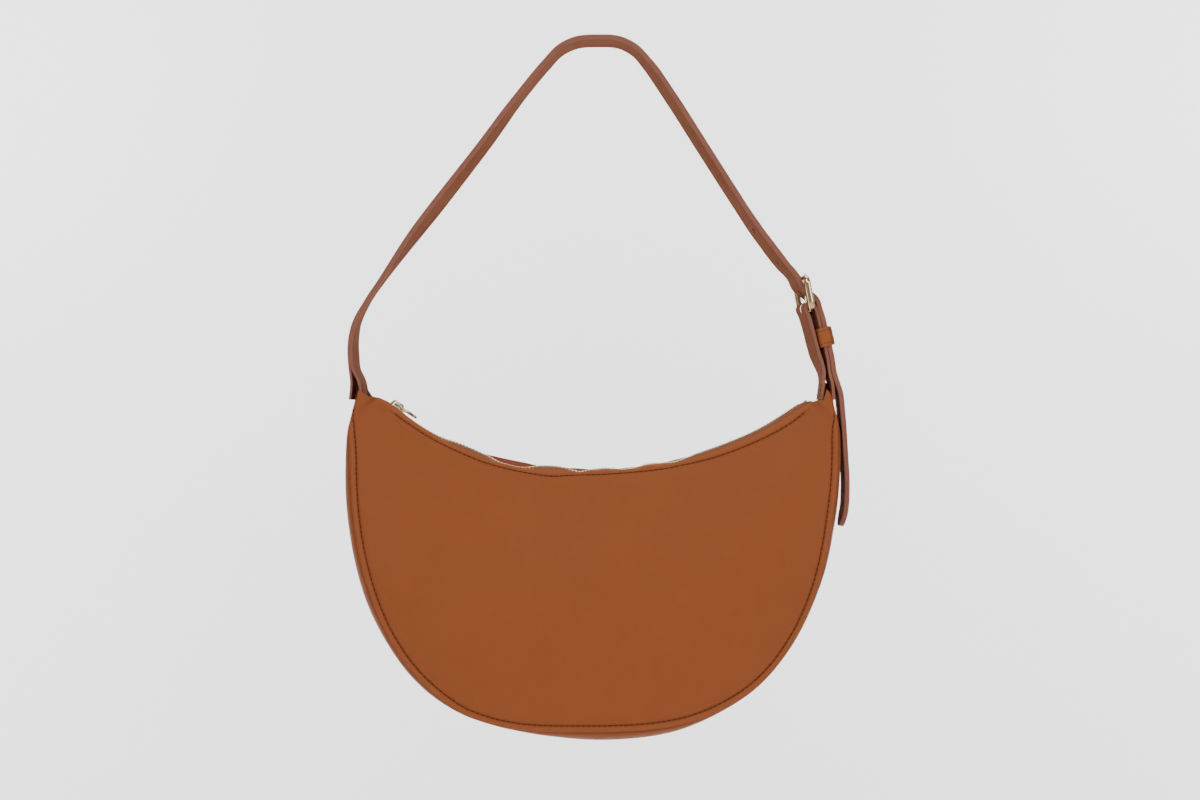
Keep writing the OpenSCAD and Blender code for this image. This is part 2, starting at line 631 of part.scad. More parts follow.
// Frame of a strip at a point: its direction, its width and its outward normal
function strip_frame(points, i) = let (
        last = len(points) - 1,
        way = unit(place(points[min(last, i + 1)]) - place(points[max(0, i - 1)])),
        a = turn_at(points[i]),
        w0 = [-sin(a), cos(a), 0],
        w = unit(w0 - (w0 * way) * way))
    [way, w, cross(way, w)];

// Closed strip of leather along points, shifted along its normal, with its outer edges bevelled
module strip(points, thick, shift, bevel_side, width_at) {
    swept([for (i = [0:len(points) - 1]) let (
            f = strip_frame(points, i), c = place(points[i]), h = width_at[i] / 2, b = min(edge_bevel, h / 2),
            inner = shift - bevel_side * thick / 2, outer = shift + bevel_side * thick / 2,
            ring = [[-h, inner], [-h, outer - bevel_side * b], [b - h, outer],
                    [h - b, outer], [h, outer - bevel_side * b], [h, inner]],
            order = bevel_side > 0 ? [5:-1:0] : [0:5])
        [for (k = order) c + f[1] * ring[k][0] + f[2] * ring[k][1]]], bevel_side < 0);
}

// Length along points up to each one
function step_to(p, i) = i < len(p) ? norm(p[i] - p[i - 1]) : 0;
function lengths(p) = [for (i = 0, s = 0; i < len(p); s = s + step_to(p, i + 1), i = i + 1) s];
end_width_share = 0.25;
function round_widths(p) = let (l = lengths(p), end = l[len(l) - 1], r = strap_w / 2)
    [for (s = l) let (d = r - min(r, end - s)) max(strap_w * end_width_share, 2 * sqrt(r * r - d * d))];
function index_at(l, s) = len([for (x = l) if (x <= s) 1]) - 1;

outer_points = smooth(outer_route, round_end_shares);
inner_points = smooth(inner_route, round_end_shares);
chape_points = smooth(chape_route, half_shares);

// Cut through a strap at a length along it, as a punched hole that may be drawn out along the strap
module punch(points, s, drawn) {
    l = lengths(points);
    i = index_at(l, s);
    share = (s - l[i]) / (l[i + 1] - l[i]);
    f = strip_frame(points, i);
    c = mix(place(points[i]), place(points[i + 1]), share);
    m = [for (k = [0:2]) [f[0][k], f[1][k], f[2][k], c[k]]];
    multmatrix(m) {
        for (x = drawn > 0 ? [-drawn / 2, drawn / 2] : [0]) translate([x, 0, -strap_t])
            cylinder(r = hole_r, h = 2 * strap_t, $fn = round_fn);
        if (drawn > 0) translate([-drawn / 2, -hole_r, -strap_t]) cube([drawn, 2 * hole_r, 2 * strap_t]);
    }
}

// Holes: the one in use, where the prong goes through half way across the buckle, and the others beside it
crossing = 3;
before_hole = len(left_run) + 1 + len(right_run) + crossing;
holes_below = 3;
holes_above = 2;

module punched(points, route) {
    used = lengths(points)[len(half_shares) * (len(route) - len(strap_route) + before_hole)];
    difference() {
        children();
        punch(points, used, prong_hole_l - 2 * hole_r);
        for (k = [-holes_above:holes_below]) if (k != 0)
            punch(points, used + (k > 0 ? k + 1 : k) * hole_pitch, 0);
    }
}

module strap_outer() color(leather)
    punched(outer_points, outer_route)
        strip(outer_points, layer_t, layer_shift + seam_gap / 2, 1, round_widths(outer_points));

module strap_inner() color(leather)
    punched(inner_points, inner_route)
        strip(inner_points, layer_t, -layer_shift - seam_gap / 2, -1, round_widths(inner_points));

module at_heel() {
    translate([heel_x, 0, -heel_drop]) rotate([0, 0, twist]) rotate([0, -buckle_lean, 0]) children();
}

module buckle_chape() color(leather) difference() {
    strip(chape_points, chape_t, 0, 1, [for (p = chape_points) strap_w]);
    at_heel() translate([-2 * fold_r, -prong_w / 2 - lay_gap, -slot_l / 2])
        cube([4 * fold_r, prong_w + 2 * lay_gap, slot_l / 2 + 2 * fold_r]);
}

// Buckle frame: a closed ring of round wire, with its heel bar on the local Y axis
rail_y = buckle_in_w / 2 + bar_r;

module wire(length) cylinder(r = bar_r, h = length, $fn = round_fn);

module buckle_frame() color(gold) at_heel() {
    for (z = [0, buckle_pitch]) translate([0, rail_y - corner_r, z])
        rotate([90, 0, 0]) wire(2 * (rail_y - corner_r));
    for (side = [-1, 1]) translate([0, side * rail_y, corner_r]) wire(buckle_pitch - 2 * corner_r);
    for (side = [-1, 1], end = [0, 1])
        translate([0, side * (rail_y - corner_r), end ? buckle_pitch - corner_r : corner_r])
        rotate([0, -90, 0]) rotate([0, 0, (end ? 0 : 180) + ((side > 0) == (end == 1) ? 0 : -90)])
            rotate_extrude(angle = 90, $fn = round_fn)
                translate([corner_r, 0]) circle(r = bar_r, $fn = round_fn);
}

// Prong: an eye round the heel bar and a blade that rests on the outside of the top bar
eye_r = bar_r + bar_gap;
eye_out_r = eye_r + prong_t;
blade_foot_share = 0.6;
blade_foot = [blade_foot_share * bar_r, eye_r + prong_t / 2];
blade_rest = [bar_r + bar_gap + prong_t / 2, buckle_pitch];
blade_way = unit(blade_rest - blade_foot);
blade_side = [blade_way[1], -blade_way[0]];
blade_tip = blade_rest + blade_way * prong_over;
blade_shoulder = blade_tip - blade_way * prong_t;

module buckle_prong() color(gold) at_heel() rotate([90, 0, 0]) translate([0, 0, -prong_w / 2]) difference() {
    union() {
        cylinder(r = eye_out_r, h = prong_w, $fn = round_fn);
        linear_extrude(prong_w) polygon([
            blade_foot - blade_side * prong_t / 2, blade_shoulder - blade_side * prong_t / 2,
            blade_tip - blade_side * prong_t / 4, blade_tip + blade_side * prong_t / 4,
            blade_shoulder + blade_side * prong_t / 2, blade_foot + blade_side * prong_t / 2]);
    }
    translate([0, 0, -overrun]) cylinder(r = eye_r, h = prong_w + 2 * overrun, $fn = round_fn);
}

// Keeper: a flat loop round the outer leg of the short strap and the tail
keeper_deep = chape_t + lay_gap + strap_t + 2 * seat_gap;
keeper_wide = strap_w + 2 * seat_gap;
keeper_corner = keeper_t;

module rounded_plan(deep, wide, r) {
    square([deep, wide - 2 * r], center = true);
    square([deep - 2 * r, wide], center = true);
    for (x = [-1, 1], y = [-1, 1])
        translate([x * (deep / 2 - r), y * (wide / 2 - r)]) circle(r = r, $fn = round_fn);
}

keeper_spot = run_start + run_way * keeper_at + run_side * (lay_gap + strap_t) / 2;

module keeper_loop() color(leather)
    translate([heel_x, 0, 0]) rotate([0, 0, twist]) translate([keeper_spot[0] - heel_x, 0, keeper_spot[1]])
        rotate([0, -run_lean, 0]) translate([0, 0, -keeper_h / 2]) linear_extrude(keeper_h) difference() {
            rounded_plan(keeper_deep + 2 * keeper_t, keeper_wide + 2 * keeper_t, keeper_corner);
            square([keeper_deep, keeper_wide], center = true);
        }

front_panel();
back_panel();
gusset();
lining_front();
lining_back();
lining_gusset();
zip_tape_front();
zip_tape_back();
zip_teeth_front();
zip_teeth_back();
zip_top_stops();
zip_bottom_stop();
zip_slider();
zip_pull();
strap_outer();
strap_inner();
buckle_chape();
buckle_frame();
buckle_prong();
keeper_loop();
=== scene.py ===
"""Half moon shoulder bag in tan leather: its looks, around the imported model.

Lengths below are in millimetres, as in the part's source, and become metres in place().
"""

import math
from bisect import bisect_right
from random import Random

import bmesh
import bpy
from mathutils import Matrix, Vector, noise


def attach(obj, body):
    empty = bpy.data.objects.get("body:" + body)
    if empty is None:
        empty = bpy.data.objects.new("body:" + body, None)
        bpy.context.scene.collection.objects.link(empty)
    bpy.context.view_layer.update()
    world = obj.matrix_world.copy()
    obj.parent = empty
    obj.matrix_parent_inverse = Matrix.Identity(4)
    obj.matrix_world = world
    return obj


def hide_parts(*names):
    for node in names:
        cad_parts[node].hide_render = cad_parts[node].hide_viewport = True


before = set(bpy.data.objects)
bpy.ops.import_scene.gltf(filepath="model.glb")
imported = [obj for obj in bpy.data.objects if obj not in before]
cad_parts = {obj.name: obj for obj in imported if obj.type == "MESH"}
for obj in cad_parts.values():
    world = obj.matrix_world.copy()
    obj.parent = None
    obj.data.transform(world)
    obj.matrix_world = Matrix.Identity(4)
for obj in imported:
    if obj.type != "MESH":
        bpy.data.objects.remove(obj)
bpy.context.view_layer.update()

MM = 0.001

# The camera, where the photograph was taken from
camera = bpy.data.objects.new("camera", bpy.data.cameras.new("camera"))
bpy.context.scene.collection.objects.link(camera)
camera.location = (0.0012, -1.1, -0.2176)
camera.rotation_euler = (math.radians(90), 0, 0)
camera.data.lens = 54.09
camera.data.sensor_width = 36
camera.data.clip_end = 50
bpy.context.scene.camera = camera


# Sizes of the part, as its source has them
BAG_X = -3.5
HALF_W = 145.4
TIP_Z = -207
TIP_H = 11.5
SHOULDER_Z = TIP_Z - TIP_H
WIDEST_Z = TIP_Z - 45
BOTTOM_Z = TIP_Z - 208.6
SHOULDER_RISE = 200
OUTLINE_POWER = 2.35
BAG_DEPTH = 54
TIP_DEPTH = 19.4
CROWN = 4
TIP_BULGE = 0.4
PANEL_T, GUSSET_T, LINING_T = 1.6, 1.4, 0.5
FLANGE_W = 5
TIP_W, TIP_FOOT_W = 2.2, 4.6
MOUTH_R, MOUTH_W = 220, 15
MOUTH_END_IN, MOUTH_END_RISE = 9, 1.65
MOUTH_SHARE = 0.935
DEPTH_POWER, FACE_POWER = 0.75, 1.6
TAPE_T, TAPE_H, TAPE_LEAN, TAPE_EDGE = 0.6, 9, 2.2, 1.7
TOOTH_PITCH, TOOTH_L, TOOTH_H, TOOTH_REACH, TOOTH_LEG = 2.15, 0.95, 2.6, 0.9, 1.3
TOOTH_COUNT = 125
ROW_PART, PARTED_TEETH = 2.1, 2
SLIDER_IN, SLIDER_L = 12.7, 11
STRAP_W, LAYER_T, EDGE_BEVEL = 20, 1.5, 0.4
STRAP_T = 2 * LAYER_T
CHAPE_T = 2
HOLE_R, HOLE_PITCH, PRONG_HOLE_L, PRONG_ROOM = 2, 25, 8, 1.4
TAIL_FALL, TAIL_BOW = 94, 8
HEEL_IN, HEEL_ABOVE = 14.9, 44.9
BUCKLE_PITCH, BAR_R, BUCKLE_LEAN, TWIST = 19, 1.85, 11, 10
PRONG_W, SLOT_L = 2.6, 9
RUN_OUT, RUN_BELOW, RUN_LEAN, RUN_L = 5.3, 6.9, 13.5, 33
KEEPER_AT, KEEPER_H, KEEPER_T = 10.9, 11.5, 1.6
SEAM_GAP, SEAT_GAP, LAY_GAP, BAR_GAP = 0.1, 0.3, 0.25, 0.12
LEFT_REACH = HALF_W - BAG_X + 0.4
LEFT_FALL = -TIP_Z - 8.5
HEEL_X = BAG_X + HALF_W - HEEL_IN
HEEL_DROP = -TIP_Z - HEEL_ABOVE


def mix(a, b, share):
    return a + (b - a) * share


def clamp(x, low=0.0, high=1.0):
    return min(high, max(low, x))


def ease(x):
    s = clamp(x)
    return s * s * (3 - 2 * s)


def plane(x, z):
    """A point in the plane of the bag."""
    return Vector((x, z))


def place(x, y, z):
    return Vector((x, y, z)) * MM


def span(low, high, steps):
    return [mix(low, high, i / steps) for i in range(steps + 1)]


# Shape of the bag
def outline_at(t):
    """The half moon's outline, from its middle line, at an angle from the bottom."""
    a, e, side = math.radians(abs(t)), 2 / OUTLINE_POWER, -1 if t < 0 else 1
    if abs(t) <= 90:
        return plane(
            side * HALF_W * math.sin(a) ** e,
            WIDEST_Z - (WIDEST_Z - BOTTOM_Z) * max(0.0, math.cos(a)) ** e,
        )
    a -= math.pi / 2
    return plane(side * HALF_W * math.cos(a) ** e, WIDEST_Z + SHOULDER_RISE * math.sin(a) ** e)


def angle_at(z):
    return 90 + math.degrees(math.asin(((z - WIDEST_Z) / SHOULDER_RISE) ** (OUTLINE_POWER / 2)))


def outline_x(z):
    return outline_at(angle_at(z)).x


TIP_ANGLE = angle_at(TIP_Z)
SHOULDER_SHARE = angle_at(SHOULDER_Z) / TIP_ANGLE


def half_depth(z):
    share = clamp((TIP_Z - z) / (TIP_Z - BOTTOM_Z))
    return mix(TIP_DEPTH, BAG_DEPTH, share**DEPTH_POWER) / 2


def along(points, x):
    """The smooth curve through points of place and value, level past its ends."""
    i = bisect_right([p[0] for p in points], x)
    if i == 0 or i == len(points):
        return points[min(i, len(points) - 1)][1]
    (x0, y0), (x1, y1) = points[i - 1], points[i]

    def slope(k):
        (xa, ya), (xb, yb) = points[max(0, k - 1)], points[min(len(points) - 1, k + 1)]
        return (yb - ya) / (xb - xa)

    w, s = x1 - x0, (x - x0) / (x1 - x0)
    return (
        y0 * (2 * s**3 - 3 * s * s + 1) + slope(i - 1) * w * (s**3 - 2 * s * s + s)
        + y1 * (3 * s * s - 2 * s**3) + slope(i) * w * (s**3 - s * s)
    )


# How the hanging leather departs from the part's even outline, by the angle round from the bottom:
# how far out the sewn seam sits, and how far the gusset swells past it
SEAM_OUT = [
    (-100, -1.4), (-98.5, -1.2), (-96.5, -0.7), (-95.8, 0), (-93, 1.5), (-88, 0.4), (-79, 0), (-72, 0.1),
    (-64, 0.6), (-50, 2.7), (-42, 3.9), (-35, 4.5), (-27, 5.2), (-20, 4.1), (-10, 1.7), (-4, 0.3), (3, 0),
    (10, 0.8), (20, 2.5), (28, 3.3), (38, 3.9), (50, 2.8), (60, 1.8), (70, 1.0), (78, 0.9), (86, 2.3),
    (92.5, 3.2), (94, 3.0), (95.8, 1.8), (96.7, 1.2), (98, 1.3), (100, 0.9),
]
GUSSET_SWELL = [
    (-100, 0.3), (-95, 0.7), (-92, 2.7), (-88, 4.5), (-79, 5.3), (-64, 5.8), (-50, 4.9), (-36, 4.5),
    (-27, 2.4), (-22, 1.7), (-15, 3.0), (-8, 5.4), (0, 8.1), (5, 8.1), (15, 6.5), (28, 3.0), (38, 2.1),
    (50, 1.7), (60, 1.8), (70, 3.0), (80, 3.0), (86, 2.6), (92, 2.4), (95, 1.0), (100, 0.3),
]


def tip_inner_x(z):
    return outline_x(z) - mix(TIP_FOOT_W, TIP_W, (z - SHOULDER_Z) / (TIP_Z - SHOULDER_Z))


# The mouth as it hangs, by the angle along it: how far each top edge rises off the part's even curve,
# how deep below that curve the sewn groove runs, and how far the zip hangs below its own even curve
FRONT_RISE = [
    (-36.5, 0.8), (-35.6, 1.9), (-34.6, 2.7), (-33, 2.5), (-31.5, 1.8), (-29.6, 1.1), (-27.8, 0.3),
    (-25.9, -0.4), (-24, -1.2), (-20.4, -1.5), (-18.5, -1.9), (-16, -2.6), (-13, -2.8), (-9.8, -2.6),
    (-8.1, -1.3), (-6.3, -0.8), (-4.6, -0.9), (-3.2, -1.5), (-1.8, -1.5), (-0.3, -0.5), (1.8, 0.1),
    (4.4, -0.5), (6.6, -0.5), (8.9, 0.4), (11.2, -0.8), (13.5, -1.4), (15, -1.5), (17, -1.1),
    (22.2, -1.3), (25.9, -1.7), (29.6, -1.7), (33.3, -1.3), (35, -1.6), (36.5, -2.4),
]
BACK_RISE = [
    (-36.5, 0.8), (-34.6, 2.0), (-31, 0.8), (-28, -0.3), (-24, -1.3), (-20, -1.6), (-17.5, -0.8),
    (-15, -0.2), (-11, 0.1), (-8.5, -0.4), (-6, -0.6), (-4, 0.2), (-2.4, 0.3), (-0.7, 0), (2, -0.4),
    (5.5, -0.1), (8.9, -0.4), (12, -0.3), (14.3, -0.1), (17, -0.9), (25, -1.3), (30, -1.5), (33.3, -1.3),
    (35, -1.7), (36.5, -3.2),
]
TOP_GROOVE = [
    (-33, 1.1), (-29.6, 2.05), (-25.9, 3.3), (-22.2, 4.0), (-18.5, 4.8), (-16.3, 5.2), (-9.3, 5.3),
    (-6.7, 5.2), (-5.5, 4.8), (-3.7, 3.8), (-1.8, 3.2), (0, 2.9), (3.7, 2.7), (7.4, 2.9), (11.1, 3.5),
    (14.8, 4.0), (18.5, 4.8), (22.2, 5.3), (29.6, 6.2), (32.2, 6.2), (35.2, 5.4),
]
ZIP_DROP = [
    (-31, 0), (-29, 0.3), (-26, 1.0), (-24, 0.9), (-22.2, 0.2), (-20.3, 0.2), (-18.5, 0.7), (-16.3, 2.1),
    (-14.8, 3.4), (-11.1, 3.5), (-9.6, 2.2), (-8.1, 0.5), (-6.3, -0.3), (-4.4, 0.1), (-3.3, 1.4),
    (-1.8, 2.1), (-0.4, 0.8), (1.8, -0.1), (3.3, 0.3), (4.6, 1.2), (6.6, 1.2), (8.9, -0.2), (11.1, 0.8),
    (13, 1.8), (14.8, 1.3), (17, 0.2), (22.2, 0.1), (25.9, 0.4), (28.5, 0.4), (31, 0.15), (35.2, 0.15),
    (36, 1.2), (36.9, 2.6),
]
# Shifts of the top edge, across and up, at the foot and at the point of each tip
TIP_SHIFTS = {-1: ((4.3, 3.2), (0.4, -4.2)), 1: ((-0.4, 1.0), (0.2, -4.0))}
SINK_FROM = 0.965
# How far each panel stands in at the tips, from where along the edge, and how far a tip's point leans down
TIP_STAND, STAND_FROM, STAND_EASE, POINT_LEAN = 2.1, 0.925, 0.03, 0.75
HANG_FADE = 1.6
# Where along the mouth the sewn groove ends, and how softly, at the left and at the right
GROOVE_END, GROOVE_EASE_LEFT, GROOVE_EASE_RIGHT = 34.5, 2.5, 1.5
RIM_LEAST, RIM_MOST = 0.45, 1.5

MOUTH_ANGLE = math.degrees(math.asin((tip_inner_x(SHOULDER_Z) - MOUTH_END_IN) / MOUTH_R))
MOUTH_Z = SHOULDER_Z + MOUTH_END_RISE + MOUTH_R * math.cos(math.radians(MOUTH_ANGLE))


def mouth_point(angle):
    a = math.radians(angle)
    return plane(MOUTH_R * math.sin(a), MOUTH_Z - MOUTH_R * math.cos(a))


def top_edge(u):
    """A panel's top edge, at a share from -1 at one tip to 1 at the other."""
    a, side = abs(u), -1 if u < 0 else 1
    if a <= MOUTH_SHARE:
        return mouth_point(MOUTH_ANGLE * u / MOUTH_SHARE)
    if a <= SHOULDER_SHARE:
        foot = plane(tip_inner_x(SHOULDER_Z), SHOULDER_Z)
        p = mix(mouth_point(MOUTH_ANGLE), foot, (a - MOUTH_SHARE) / (SHOULDER_SHARE - MOUTH_SHARE))
        return plane(side * p.x, p.y)
    z = mix(SHOULDER_Z, TIP_Z, (a - SHOULDER_SHARE) / (1 - SHOULDER_SHARE))
    return plane(side * tip_inner_x(z), z)


def top_half_depth(u):
    return mix(MOUTH_W, TIP_DEPTH, ease((abs(u) - MOUTH_SHARE) / (SHOULDER_SHARE - MOUTH_SHARE))) / 2


def seam_normal(t):
    step = 0.2
    d = outline_at(min(TIP_ANGLE, t + step)) - outline_at(max(-TIP_ANGLE, t - step))
    return plane(d.y, -d.x).normalized()


def edge_normal(u):
    step = 0.002
    d = top_edge(min(1, u + step)) - top_edge(max(-1, u - step))
    return plane(-d.y, d.x).normalized()


def seam_point(t):
    """The sewn seam as it hangs."""
    return outline_at(t) + seam_normal(t) * along(SEAM_OUT, t)


def mouth_angle(u):
    return clamp(MOUTH_ANGLE * u / MOUTH_SHARE, -MOUTH_ANGLE, MOUTH_ANGLE)


def tip_sink(u):
    """How far the point of a tip hangs below the part's, growing towards its end."""
    return TIP_SHIFTS[-1 if u < 0 else 1][1][1] * ease((abs(u) - SINK_FROM) / (1 - SINK_FROM))


def edge_shift(u, rise):
    """How far a panel's top edge hangs from the part's, at a share along it, but for the sink of the tips."""
    angle = mouth_angle(u)
    a, h = math.radians(angle), along(rise, angle)
    shift = plane(-h * math.sin(a), h * math.cos(a))
    if abs(u) <= MOUTH_SHARE:
        return shift
    foot, point = (plane(*p) for p in TIP_SHIFTS[-1 if u < 0 else 1])
    if abs(u) <= SHOULDER_SHARE:
        return mix(shift, foot, (abs(u) - MOUTH_SHARE) / (SHOULDER_SHARE - MOUTH_SHARE))
    return mix(foot, plane(point.x, 0), (abs(u) - SHOULDER_SHARE) / (1 - SHOULDER_SHARE))


def panel_point(u, v, inset):
    """A place on the front panel at shares across and down, moved in from its outer face."""
    top, seam = top_edge(u), seam_point(u * TIP_ANGLE)
    p = mix(top, seam, v)
    swell = CROWN * math.sin(math.pi * clamp(v)) * (seam - top).length / (WIDEST_Z - BOTTOM_Z)
    y = mix(top_half_depth(u), half_depth(seam.y), 1 - max(0.0, 1 - v) ** FACE_POWER) + swell
    return Vector((BAG_X + p.x, inset - y, p.y))


# Finishes
class Value:
    """A socket's value. A sum, difference or product of values adds its Math nodes."""

    def __init__(self, finish, socket):
        self.finish, self.socket = finish, socket

    def math(self, operation, *others):
        return self.finish.node("ShaderNodeMath", {"operation": operation}, [self, *others])

    def __add__(self, other):
        return self.math("ADD", other)

    def __sub__(self, other):
        return self.math("SUBTRACT", other)

    def __rsub__(self, other):
        return self.finish.node("ShaderNodeMath", {"operation": "SUBTRACT"}, [other, self])

    def __mul__(self, other):
        return self.math("MULTIPLY", other)

    def clamped(self, low=0.0, high=1.0):
        return self.math("MAXIMUM", low).math("MINIMUM", high)


class Finish:
    """A material made from nodes, with a Principled shader whose constants are given by name."""

    def __init__(self, name, **constants):
        self.material = bpy.data.materials.new(name)
        self.material.use_nodes = True
        self.nodes = self.material.node_tree.nodes
        self.links = self.material.node_tree.links
        self.nodes.clear()
        self.shader = self.nodes.new("ShaderNodeBsdfPrincipled")
        output = self.nodes.new("ShaderNodeOutputMaterial")
        self.links.new(self.shader.outputs[0], output.inputs["Surface"])
        for key, value in constants.items():
            self.shader.inputs[key.replace("_", " ").title().replace("Ior", "IOR")].default_value = value

    def node(self, kind, settings=None, inputs=(), output=0):
        made = self.nodes.new(kind)
        for key, value in (settings or {}).items():
            if key == "stops":
                while len(made.color_ramp.elements) < len(value):
                    made.color_ramp.elements.new(0.5)
                for element, (position, colour) in zip(made.color_ramp.elements, value):
                    element.position, element.color = position, (*colour, 1)
            else:
                setattr(made, key, value)
        pairs = inputs.items() if isinstance(inputs, dict) else enumerate(inputs)
        for key, value in pairs:
            self.feed(made.inputs[key], value)
        return Value(self, made.outputs[output])

    def feed(self, socket, value):
        if isinstance(value, Value):
            self.links.new(value.socket, socket)
        elif isinstance(value, tuple) and len(socket.default_value) == 4 and len(value) == 3:
            socket.default_value = (*value, 1)
        else:
            socket.default_value = value

    def coordinates(self, which="Object"):
        return self.node("ShaderNodeTexCoord", output=which)

    def noise(self, size, detail=2.0, roughness=0.5, stretch=None):
        """Soft random values from 0 to 1, with features of a size in millimetres."""
        where = self.coordinates()
        if stretch:
            where = self.node("ShaderNodeMapping", inputs={"Vector": where, "Scale": stretch})
        return self.node(
            "ShaderNodeTexNoise",
            inputs={"Vector": where, "Scale": 1 / (size * MM), "Detail": detail, "Roughness": roughness},
        )

    def cells(self, size, feature="F1"):
        """Distance inside cells of a size in millimetres."""
        inputs = {"Vector": self.coordinates(), "Scale": 1 / (size * MM)}
        return self.node("ShaderNodeTexVoronoi", {"feature": feature}, inputs, "Distance")

    def attribute(self, name):
        return self.node("ShaderNodeAttribute", {"attribute_name": name}, output="Fac")

    def blend(self, share, a, b):
        """The colour between a and b."""
        return self.node("ShaderNodeMix", {"data_type": "RGBA"}, {0: share, 6: a, 7: b}, output=2)

    def bump(self, height, distance, strength=1.0, normal=None):
        """The surface's normal over a height from 0 to 1 that is worth a distance in millimetres."""
        inputs = {"Height": height, "Distance": distance * MM, "Strength": strength}
        if normal:
            inputs["Normal"] = normal
        return self.node("ShaderNodeBump", inputs=inputs)

    def paint(self, **values):
        for key, value in values.items():
            self.feed(self.shader.inputs[key.replace("_", " ").title()], value)
        return self.material


def leather(name, dark, light, groove, rim, grain=0.55, rough=0.5, relief=0.05, gloss=0.13):
    """Smooth leather: patches of tone, fine grain with pores, and a tone attribute that paints shade, in the
    groove colour, into grooves and seams and a highlight, in the rim colour, onto rims.
    """
    f = Finish(name, specular_ior_level=gloss)
    broad, middle = f.noise(55, 3), f.noise(9, 4, 0.6)
    pebble = f.cells(grain, "SMOOTH_F1")
    pores = f.cells(grain * 1.7)
    tone = f.attribute("tone")
    share = (broad * 0.55 + middle * 0.45 - 0.5) * 1.6 + 0.5
    colour = f.blend(share.clamped(), dark, light)
    colour = f.blend(((0.22 - pores) * 1.4).clamped(0, 0.16), colour, groove)
    # Painted shade: negative tone darkens towards the groove colour in grooves, at seams and at shadowed
    # ends; on the strap it carries its crease and slow random patches instead
    colour = f.blend((tone * -1).clamped(), colour, groove)
    # Painted highlight: positive tone lightens towards the rim colour on rims; on the strap it carries slow
    # random patches instead
    colour = f.blend(tone.clamped(), colour, rim)
    fine = f.bump(pebble, relief, 0.8)
    soft = f.bump(middle, relief * 3, 0.35, fine)
    return f.paint(
        base_color=colour,
        roughness=(middle - 0.5) * 0.22 + pebble * 0.1 + rough,
        normal=soft,
    )


def edge_paint(name, dark, light):
    """Painted leather edge: satin, with faint ripples along the cut."""
    f = Finish(name, specular_ior_level=0.12)
    ripple = f.noise(2.2, 4, 0.6)
    broad = f.noise(30, 2)
    colour = f.blend((ripple * 0.6 + broad * 0.4 - 0.5) * 1.8 + 0.5, dark, light)
    return f.paint(base_color=colour, roughness=ripple * 0.2 + 0.48, normal=f.bump(ripple, 0.12, 0.5))


def polished(name, tint, dark, rough=0.16):
    """Gold plating: bright, with soft waves from polishing and hairline wear."""
    f = Finish(name, metallic=1.0)
    waves = f.noise(4, 2)
    hairline = f.noise(0.5, 3, 0.6, stretch=(1, 1, 0.15))
    worn = f.noise(2.5, 4, 0.7)
    colour = f.blend(((worn - 0.45) * 2.5).clamped(0, 0.6), tint, dark)
    return f.paint(
        base_color=colour,
        roughness=hairline * 0.1 + worn * 0.08 + rough - 0.07,
        normal=f.bump(waves, 0.05, 0.5, f.bump(hairline, 0.008, 0.5)),
    )


def cloth(name, dark, light, thread, relief=0.12, rough=0.85):
    """Woven cloth: crossing threads that follow the piece's own flat coordinates."""
    f = Finish(name, specular_ior_level=0.2, sheen_weight=0.25, sheen_roughness=0.5)
    flat = f.coordinates("UV")
    split = f.node("ShaderNodeSeparateXYZ", inputs=[flat])
    across = Value(f, split.socket.node.outputs[1])
    step = math.pi / (thread * MM)
    warp, weft = (split * step).math("SINE"), (across * step).math("SINE")
    weave = (warp * weft) * 0.5 + 0.5
    ribs = warp.math("ABSOLUTE") * weft.math("ABSOLUTE")
    fuzz = f.noise(0.6, 3, 0.7)
    colour = f.blend((weave * 0.5 + fuzz * 0.5).clamped(), dark, light)
    return f.paint(base_color=colour, roughness=fuzz * 0.1 + rough - 0.05, normal=f.bump(ribs, relief, 0.7))


def twisted_thread(name, dark, light):
    """Sewing thread: fine slanting strands."""
    f = Finish(name, specular_ior_level=0.1)
    strands = f.noise(0.35, 2, 0.6, stretch=(1.0, 1.0, 0.5))
    patches = f.noise(14, 2)
    colour = f.blend((strands * 0.6 + patches * 0.4).clamped(), dark, light)
    return f.paint(base_color=colour, roughness=strands * 0.2 + 0.55, normal=f.bump(strands, 0.1, 0.8))


# In each leather, groove is the colour of its pores and of the painted shade in its grooves, and rim the
# colour of the painted highlight on its rims
BODY_LEATHER = leather(
    "body_leather", dark=(0.247, 0.0665, 0.0195), light=(0.282, 0.077, 0.023),
    groove=(0.110, 0.026, 0.009), rim=(0.325, 0.097, 0.034),
)
FLESH_SIDE = leather(
    "flesh_side", dark=(0.300, 0.080, 0.052), light=(0.370, 0.102, 0.068),
    groove=(0.150, 0.036, 0.024), rim=(0.380, 0.110, 0.074),
    rough=0.8, relief=0.1, gloss=0.1,
)
STRAP_LEATHER = leather(
    "strap_leather", dark=(0.185, 0.062, 0.028), light=(0.215, 0.073, 0.034),
    groove=(0.085, 0.022, 0.010), rim=(0.260, 0.090, 0.050),
    grain=0.5, rough=0.78, gloss=0.03,
)
KEEPER_LEATHER = leather(
    "keeper_leather", dark=(0.270, 0.076, 0.021), light=(0.305, 0.087, 0.025),
    groove=(0.120, 0.030, 0.010), rim=(0.350, 0.110, 0.040),
    grain=0.5, rough=0.5,
)
EDGE_PAINT = edge_paint("edge_paint", (0.225, 0.082, 0.053), (0.285, 0.109, 0.073))
GOLD = polished("pale_gold_plating", (0.82, 0.62, 0.34), (0.56, 0.40, 0.20))
